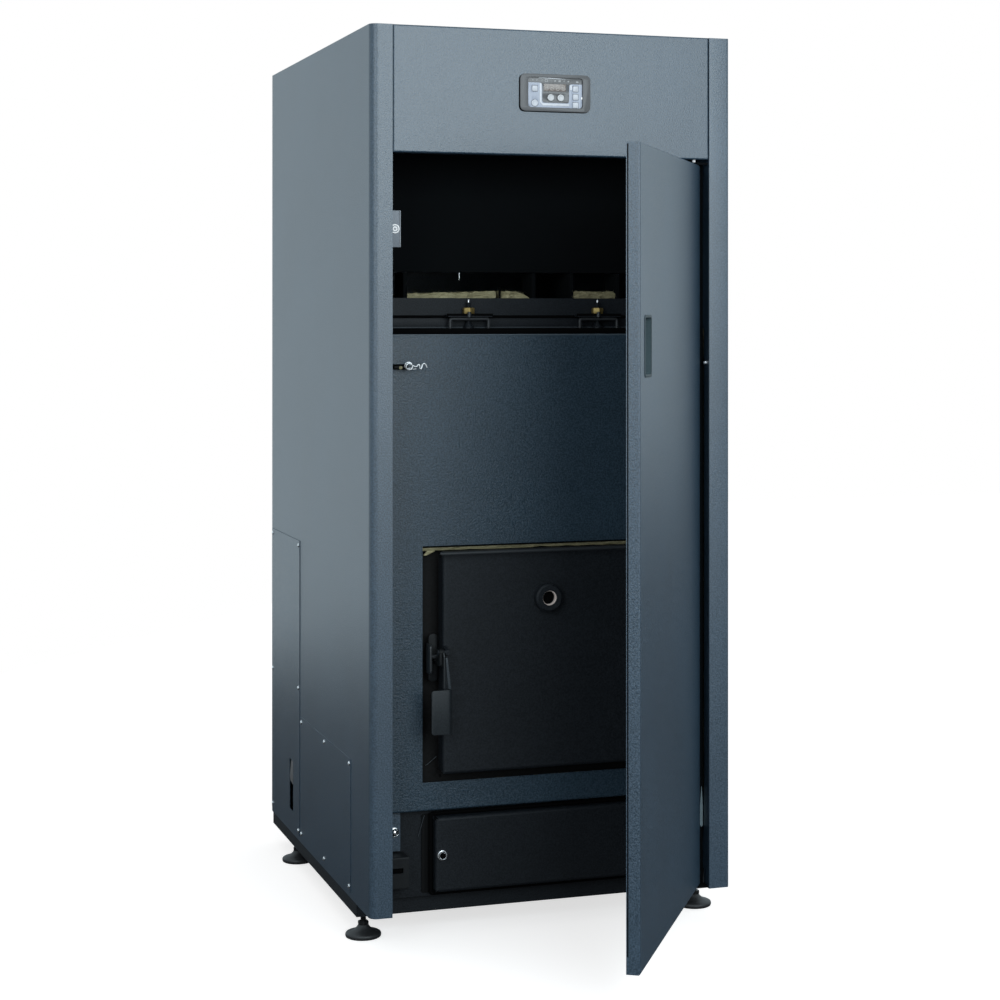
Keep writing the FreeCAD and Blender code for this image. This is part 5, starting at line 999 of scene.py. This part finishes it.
for number, x in enumerate(clamps, 1):
    wire(f"clamp_bridge_{number}", [(x + u, clamp_y - 0.0058, low.z + v) for u, v in bridge], 0.0028,
         "black_paint", "rod")
    # a near-black plate over each lug: painted shade
    plate(f"clamp_shade_plate_{number}", [box_outline(0.084, 0.0042, 0.0006, x - 0.001, low.z + 0.0236)], 0.0008,
          upright(front - 0.0236), "black_paint", "gasket", edge=0.0002)
    spun(f"stud_end_{number}", stud_end, (x, clamp_y, low.z + stud_tall), UP, 28, "bright_steel", "nickel")
    spun(f"clamp_prong_{number}", prong, (x - 0.002, clamp_y - 0.0115, low.z + 0.0195), UP, 24,
         "black_paint", "latch_steel")

low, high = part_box("flue_cover")
lid_front = front - 0.003
# a near-black ring under the cover: partly its seal, partly painted shadow under the cover's edge
cover_shadow_ring = ring_flat(high.x - low.x + 0.0014, high.y - lid_front + 0.0014, (lid_front + high.y) / 2,
                       border=0.0154, height=0.0046, z=low.z - 0.0018)
piece("cover_shadow_ring", cover_shadow_ring, "black_paint", "gasket")


# Catch bracket: a folded plate with a hemmed edge; the plate is a far lighter copy of the casing paint,
# painted light in its recess, and the hem's pale grey is a painted highlight

low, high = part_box("catch_bracket")
catch_line = [(high.x, high.y), (low.x + 0.0025, high.y), (low.x + 0.0008, high.y - 0.0008),
              (low.x, high.y - 0.0025), (low.x, low.y)]
piece("catch_fold", bent_sheet(catch_line, 0.0015, low.z, high.z, edge=0.0003), "casing_paint",
      "catch_lit_paint", hides=("catch_bracket",))
# the hem's pale grey: a painted highlight along the bracket's edge
hem = [(high.x - 0.0013, high.y - 0.0022, z) for z in (low.z + 0.0004, high.z - 0.0004)]
wire("catch_hem", hem, 0.0013, "casing_paint", "highlight_and_shade_grey")


# Outer door: white bush over its upper pin, a pale strip low on the post that is painted light in the hinge
# gap, and a dark strip along its free edge that is painted shade

low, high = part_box("hinge_post")
joints = {joint["name"]: joint for joint in frame["record"]["behaviour"]["joints"]}
pivot = joints["outer_door_hinge"]["pos_m"]
bush = [(0, 0), (0.0022, 0), (0.003, 0.0014), (0.0032, 0.003), (0.0027, 0.0046), (0.0015, 0.0056),
        (0, 0.0059)]
spun("pivot_bush", bush, (pivot[0] + 0.002, pivot[1], high.z), UP, 32, "white_plastic")
post_face = high.y - 0.045
# a pale wedge, narrowing to its top to fade: painted light in the hinge gap
slit_light = [(0.2839, 0.165), (0.2866, 0.1678), (0.2864, 0.2028), (0.2843, 0.2368), (0.2835, 0.2368),
         (0.2813, 0.2028), (0.2811, 0.1678)]
plate("post_slit_light", [rounded(slit_light, 0.0012)], 0.0004, upright(post_face + 0.0002), "black_paint", "slit_light")

open_angle = math.radians(58)
swing = Matrix.Translation((pivot[0], pivot[1], 0)) @ Matrix.Rotation(open_angle, 4, "Z")


def door_box(node):
    """The bounds of a node of the outer door in the frame of the door, as if it were shut about its pivot."""
    home = swing.inverted()
    return span([home @ corner.co for corner in nodes[node].data.vertices])


low, high = door_box("door_skin")
# a near-black strip along the door's free edge: painted shade
shade_line = box_outline(0.002, high.z - low.z - 0.03, 0.0004, high.y - 0.0026, (low.z + high.z) / 2 + 0.012)
plate("door_edge_shade_line", [shade_line], 0.0006, swing @ sideways(low.x - 0.0002), "black_paint", "gasket",
      body="outer_door")


# Recessed pull of the outer door: rounded rim in a darker copy of the pull's grey, painted shade, deep cup
# and a stop at each end

low, high = door_box("pull_handle")
wide = high.x - low.x
tall = high.z - low.z
middle = ((low.x + high.x) / 2, (low.z + high.z) / 2)


def pull_outline(inset, radius):
    """The outline of the pull, smaller by an inset."""
    return box_outline(wide - inset, tall - inset, radius, *middle)


mouth = pull_outline(0.009, 0.0045)
walls = flat([pull_outline(0.006, 0.005), mouth], high.y - low.y - 0.001, swing @ upright(high.y))
cup_floor = flat([pull_outline(0.007, 0.0045)], 0.0015, swing @ upright(high.y))
piece("pull_cup", joined(walls, cup_floor), "grey_plastic", "handle", hides=("pull_handle",),
      body="outer_door")
plate("pull_rim", [pull_outline(0.0, 0.007), mouth], 0.001, swing @ upright(low.y + 0.001), "grey_plastic",
      "handle_shaded", edge=0.0004, body="outer_door")
stops = []
for side in (-1, 1):
    stop = box_outline(wide - 0.01, 0.007, 0.0015, middle[0], middle[1] + side * (tall / 2 - 0.0085))
    stops.append(flat([stop], 0.006, swing @ upright(high.y - 0.0015), edge=0.0006))
piece("pull_stops", joined(*stops), "grey_plastic", "handle", body="outer_door")


# Right front flange: its face and the outer bead of the folded edge; the face is in a lighter, glossier copy
# of the casing paint, which is painted light

low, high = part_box("right_side_panel")
bend = 0.014
face = low.y - 0.0003
turn_r = 0.005
flange = [(high.x - 0.0376, face + 0.0003), (high.x - 0.0373, face), (high.x - turn_r, face)]
flange += quarter(high.x - turn_r, face + turn_r, turn_r, 6)[-2::-1]
flange += [(high.x + 0.0002, low.y + bend + 0.001)]
flange += quarter(high.x - bend, low.y + bend, bend - 0.0006, 6)
plate("right_flange_face", [flange], high.z - low.z, Matrix.Translation((0, 0, low.z)), "casing_paint",
      "flange_lit_paint")


# Folded edges painted lighter as highlights, and dark strips and bands painted as shade, round the inner
# front

low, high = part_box("inner_front_panel")
bead("panel_top_fold", low.x + 0.002, high.x - 0.002, low.y + 0.0008, high.z - 0.0014, 0.0015,
     "casing_paint", "fold_highlight_paint")
# a near-black strip over the jacket's top, where deep shade falls: painted shade
plate("jacket_edge_shade", [box_outline(high.x - low.x - 0.012, 0.0098, 0.0008, 0, high.z + 0.0052)], 0.001,
      upright(high.y - 0.0005), "black_paint", "gasket", edge=0.0002)
tongue_x = -0.2655
plate("tongue_slot_shade", [box_outline(0.054, 0.024, 0.001, tongue_x, tongue_z)], 0.0008,
      upright(low.y + 0.003), "black_paint", "gasket", edge=0.0001)
# a thin near-black strip along the top of the fire opening: painted shade under the panel's edge
opening_top = 0.6735
plate("opening_edge_shade", [box_outline(0.428, 0.003, 0.0004, 0, opening_top)], 0.0008, upright(low.y + 0.0024),
      "black_paint", "gasket", edge=0.0001)
# the collar's foot bead in the stay's lighter grey: a painted highlight on its edge
low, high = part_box("flue_collar")
bead("collar_foot_bead", low.x + 0.001, high.x - 0.001, low.y + 0.017, low.z + 0.0012, 0.0013,
     "black_paint", "stay")

low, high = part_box("ash_door")
# a dark rope round the ash door: partly a rope seal, partly painted shade in the gap round the door
rope_x = low.x - 0.0038
rope_low = low.z - 0.0036
rope_high = high.z + 0.004
rope = [(high.x - 0.03, rope_low), (low.x + 0.004, rope_low), (rope_x, rope_low), (rope_x, low.z + 0.004),
        (rope_x, high.z - 0.004), (rope_x, rope_high), (low.x + 0.004, rope_high),
        (high.x - 0.03, rope_high)]
wire("ash_door_rope_shade", [(x, high.y - 0.0036, z) for x, z in rope], 0.0034, "black_paint", "gasket")
# three near-black strips, darkest nearest the door: a painted shadow falling to the left of the ash door
for layer, across in ((1, 0.019), (2, 0.014), (3, 0.009)):
    shadow_band = box_outline(across, 0.136, 0.003, low.x - across / 2, (low.z + high.z) / 2 + 0.0005)
    plate(f"ash_door_shadow_band_{layer}", [shadow_band], 0.0002 + 0.0002 * layer, upright(high.y - 0.0001),
          "black_paint", f"felt_{layer}")
threads = {"seal_thread_ash": [(-0.218, 0.1728), (-0.2168, 0.1775), (-0.212, 0.194), (-0.2073, 0.2083)],
           "seal_thread_fire": [(-0.2055, 0.2946), (-0.2022, 0.2958), (-0.1955, 0.3012), (-0.1858, 0.3089)]}
for name, route in threads.items():
    wire(name, [(x, high.y - 0.0012, z) for x, z in route], 0.0006, "black_paint", "stay")

low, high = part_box("side_bracket")
slot_shade = box_outline(0.034, 0.014, 0.001, (low.x + high.x) / 2 - 0.001, (low.z + high.z) / 2 + 0.0045)
plate("bracket_slot_shade", [slot_shade], 0.0008, upright(low.y + 0.0045), "black_paint", "gasket",
      edge=0.0001)


# Top tray: dark ribs between the wool, in the near black that is painted shade, one of them run deep to hide
# a wool face that lies in shade; a pin and a small hook on the back of the bay

tray_floor = 1.103
tray_front = -0.2899
ribs = []
for x, deep in ((-0.231, 0.0608), (0.005, 0.0608), (0.076, 0.24), (0.164, 0.0608)):
    rib = box_outline(0.0068, deep, 0.0006, x, deep / 2 + tray_front)
    ribs.append(flat([rib], 0.0445, Matrix.Translation((0, 0, tray_floor)), edge=0.0003))
piece("tray_rib_edges", joined(*ribs), "black_paint", "shade_black")
tray_pin = [(0, 0), (0.0021, 0), (0.0021, 0.0165), (0.003, 0.017), (0.003, 0.0195), (0, 0.02)]
spun("tray_pin", tray_pin, (-0.0588, -0.2905, tray_floor), UP, 20, "black_paint", "gasket")
hook_line = [(-0.1301, -0.278, 1.1488), (-0.1301, -0.2795, 1.1486), (-0.1301, -0.2802, 1.144),
             (-0.1301, -0.2802, 1.136), (-0.1298, -0.2802, 1.1346), (-0.1288, -0.2802, 1.1342)]
wire("bay_hook", hook_line, 0.0005, "bright_steel", "chrome")


# Side slot of the rear cover: pale lagging bulging behind its upper half

lagging = [(0.225, 0.2044), (0.2086, 0.2046), (0.207, 0.199), (0.2076, 0.176), (0.2086, 0.158),
           (0.2346, 0.1625), (0.2385, 0.1695), (0.2289, 0.1969)]
lagging_x = -0.326
plate("slot_lagging", [rounded(lagging, 0.003)], 0.0008, sideways(lagging_x), "wool", "slot_pale",
      edge=0.0002)


# Back: screws along the panel's edges, a rosette round the flue spigot and round each pipe socket

low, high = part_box("back_panel")
back_face = high.y
screw_inset = 0.016
screw_margin = 0.06
form = bmesh.new()
for x in (low.x + screw_inset, high.x - screw_inset):
    for step in range(5):
        z = low.z + screw_margin + step * (high.z - low.z - 2 * screw_margin) / 4
        screw_head(form, facing((x, back_face, z), BACK), radius=0.0042, rise=0.0024)
piece("back_panel_screws", finished(form), "bright_steel")


def rosette(name, x, z, inside, outside):
    """A pressed ring that covers the edge of a hole in the back panel."""
    ring = [(inside, 0.0), (outside, 0.0), (outside, 0.0008), (outside - 0.002, 0.0022),
            (inside + 0.003, 0.003), (inside, 0.003), (inside, 0.0)]
    spun(name, ring, (x, back_face, z), BACK, 72, "black_paint")


for number, (centre, half) in enumerate(islands("pipe_sockets"), 1):
    rosette(f"socket_rosette_{number}", centre.x, centre.z, inside=half.x + 0.0004, outside=half.x + 0.012)
spigot = [corner.co for corner in nodes["flue_spigot"].data.vertices if corner.co.y > back_face + 0.02]
low, high = span(spigot)
spigot_r = (high.x - low.x) / 2
rosette("flue_rosette", 0, (low.z + high.z) / 2, inside=spigot_r + 0.0006, outside=spigot_r + 0.018)


# Stage: white backdrop, pale floor, two softboxes behind the camera

def grey(value):
    """A neutral colour."""
    return (value, value, value, 1)


def floor_sheet(outline):
    """The pale floor: white to the camera with the object's shadow, darker in the paint's reflections."""
    mesh = bpy.data.meshes.new("floor")
    mesh.from_pydata([(x, y, 0) for x, y in outline], [], [range(len(outline))])
    made = bpy.data.materials.new("floor")
    made.use_nodes = True
    tree = made.node_tree
    tree.nodes.remove(tree.nodes["Principled BSDF"])
    pale = add(tree, "BsdfDiffuse", Color=grey(0.62))
    bounce = add(tree, "BsdfDiffuse", Color=grey(0.34))
    white = add(tree, "Emission", Color=grey(0.68))
    seen = add(tree, "AddShader")
    shaded = add(tree, "BsdfDiffuse", Color=grey(0.11))
    path = add(tree, "LightPath")
    by_camera = add(tree, "MixShader")
    by_gloss = add(tree, "MixShader")
    connect(tree, (pale, "BSDF", seen, 0), (white, "Emission", seen, 1),
            (path, "Is Camera Ray", by_camera, "Fac"), (bounce, "BSDF", by_camera, 1),
            (seen, "Shader", by_camera, 2), (path, "Is Glossy Ray", by_gloss, "Fac"),
            (by_camera, "Shader", by_gloss, 1), (shaded, "BSDF", by_gloss, 2),
            (by_gloss, "Shader", tree.nodes["Material Output"], "Surface"))
    mesh.materials.append(made)
    return link(bpy.data.objects.new("floor", mesh))


floor = floor_sheet([(-3.6, -6.5), (7.0, -6.5), (9.0, 7.5), (3.2, 7.5), (-0.7, 2.7), (-3.6, 1.0)])

world = bpy.data.worlds.new("studio")
bpy.context.scene.world = world
world.use_nodes = True
tree = world.node_tree
path = add(tree, "LightPath")
room = tree.nodes["Background"]
room.inputs["Color"].default_value = (0.785, 0.925, 1.0, 1)
room.inputs["Strength"].default_value = 0.955
backdrop = add(tree, "Background", Color=grey(1.0))
fill = add(tree, "Background", Color=grey(1.0), Strength=0.62)
by_fill = add(tree, "MixShader")
by_gloss = add(tree, "MixShader")
connect(tree, (path, "Is Diffuse Ray", by_fill, "Fac"), (backdrop, "Background", by_fill, 1),
        (fill, "Background", by_fill, 2), (path, "Is Glossy Ray", by_gloss, "Fac"),
        (by_fill, "Shader", by_gloss, 1), (room, "Background", by_gloss, 2),
        (by_gloss, "Shader", tree.nodes["World Output"], "Surface"))


def softbox(name, place, aim, size, power, colour):
    """A large soft lamp turned to the object."""
    light = bpy.data.lights.new(name, "AREA")
    light.shape = "RECTANGLE"
    light.size, light.size_y = size
    light.energy = power
    light.color = colour
    lamp = link(bpy.data.objects.new(name, light))
    lamp.location = place
    lamp.rotation_euler = (Vector(aim) - Vector(place)).to_track_quat("-Z", "Y").to_euler()
    lamp.visible_camera = False


softbox("softbox_right", place=(0.6, -4.2, 2.0), aim=(0.0, -0.4, 1.1), size=(2.6, 2.3), power=97,
        colour=(0.85, 0.955, 1.0))
softbox("softbox_left", place=(-2.7, -3.7, 2.0), aim=(0.0, -0.6, 1.1), size=(1.6, 2.0), power=40,
        colour=(0.86, 0.955, 1.0))

camera = bpy.data.cameras.new("camera")
camera.sensor_width = 36
camera.lens = 77.868
camera.shift_x = -0.067
camera.shift_y = -0.189
viewer = link(bpy.data.objects.new("camera", camera))
viewer.location = (-1.184, -3.9515, 1.073)
viewer.rotation_euler = (math.radians(90.11), 0, math.radians(-18.87))
bpy.context.scene.camera = viewer
bpy.context.scene.view_settings.view_transform = "Standard"
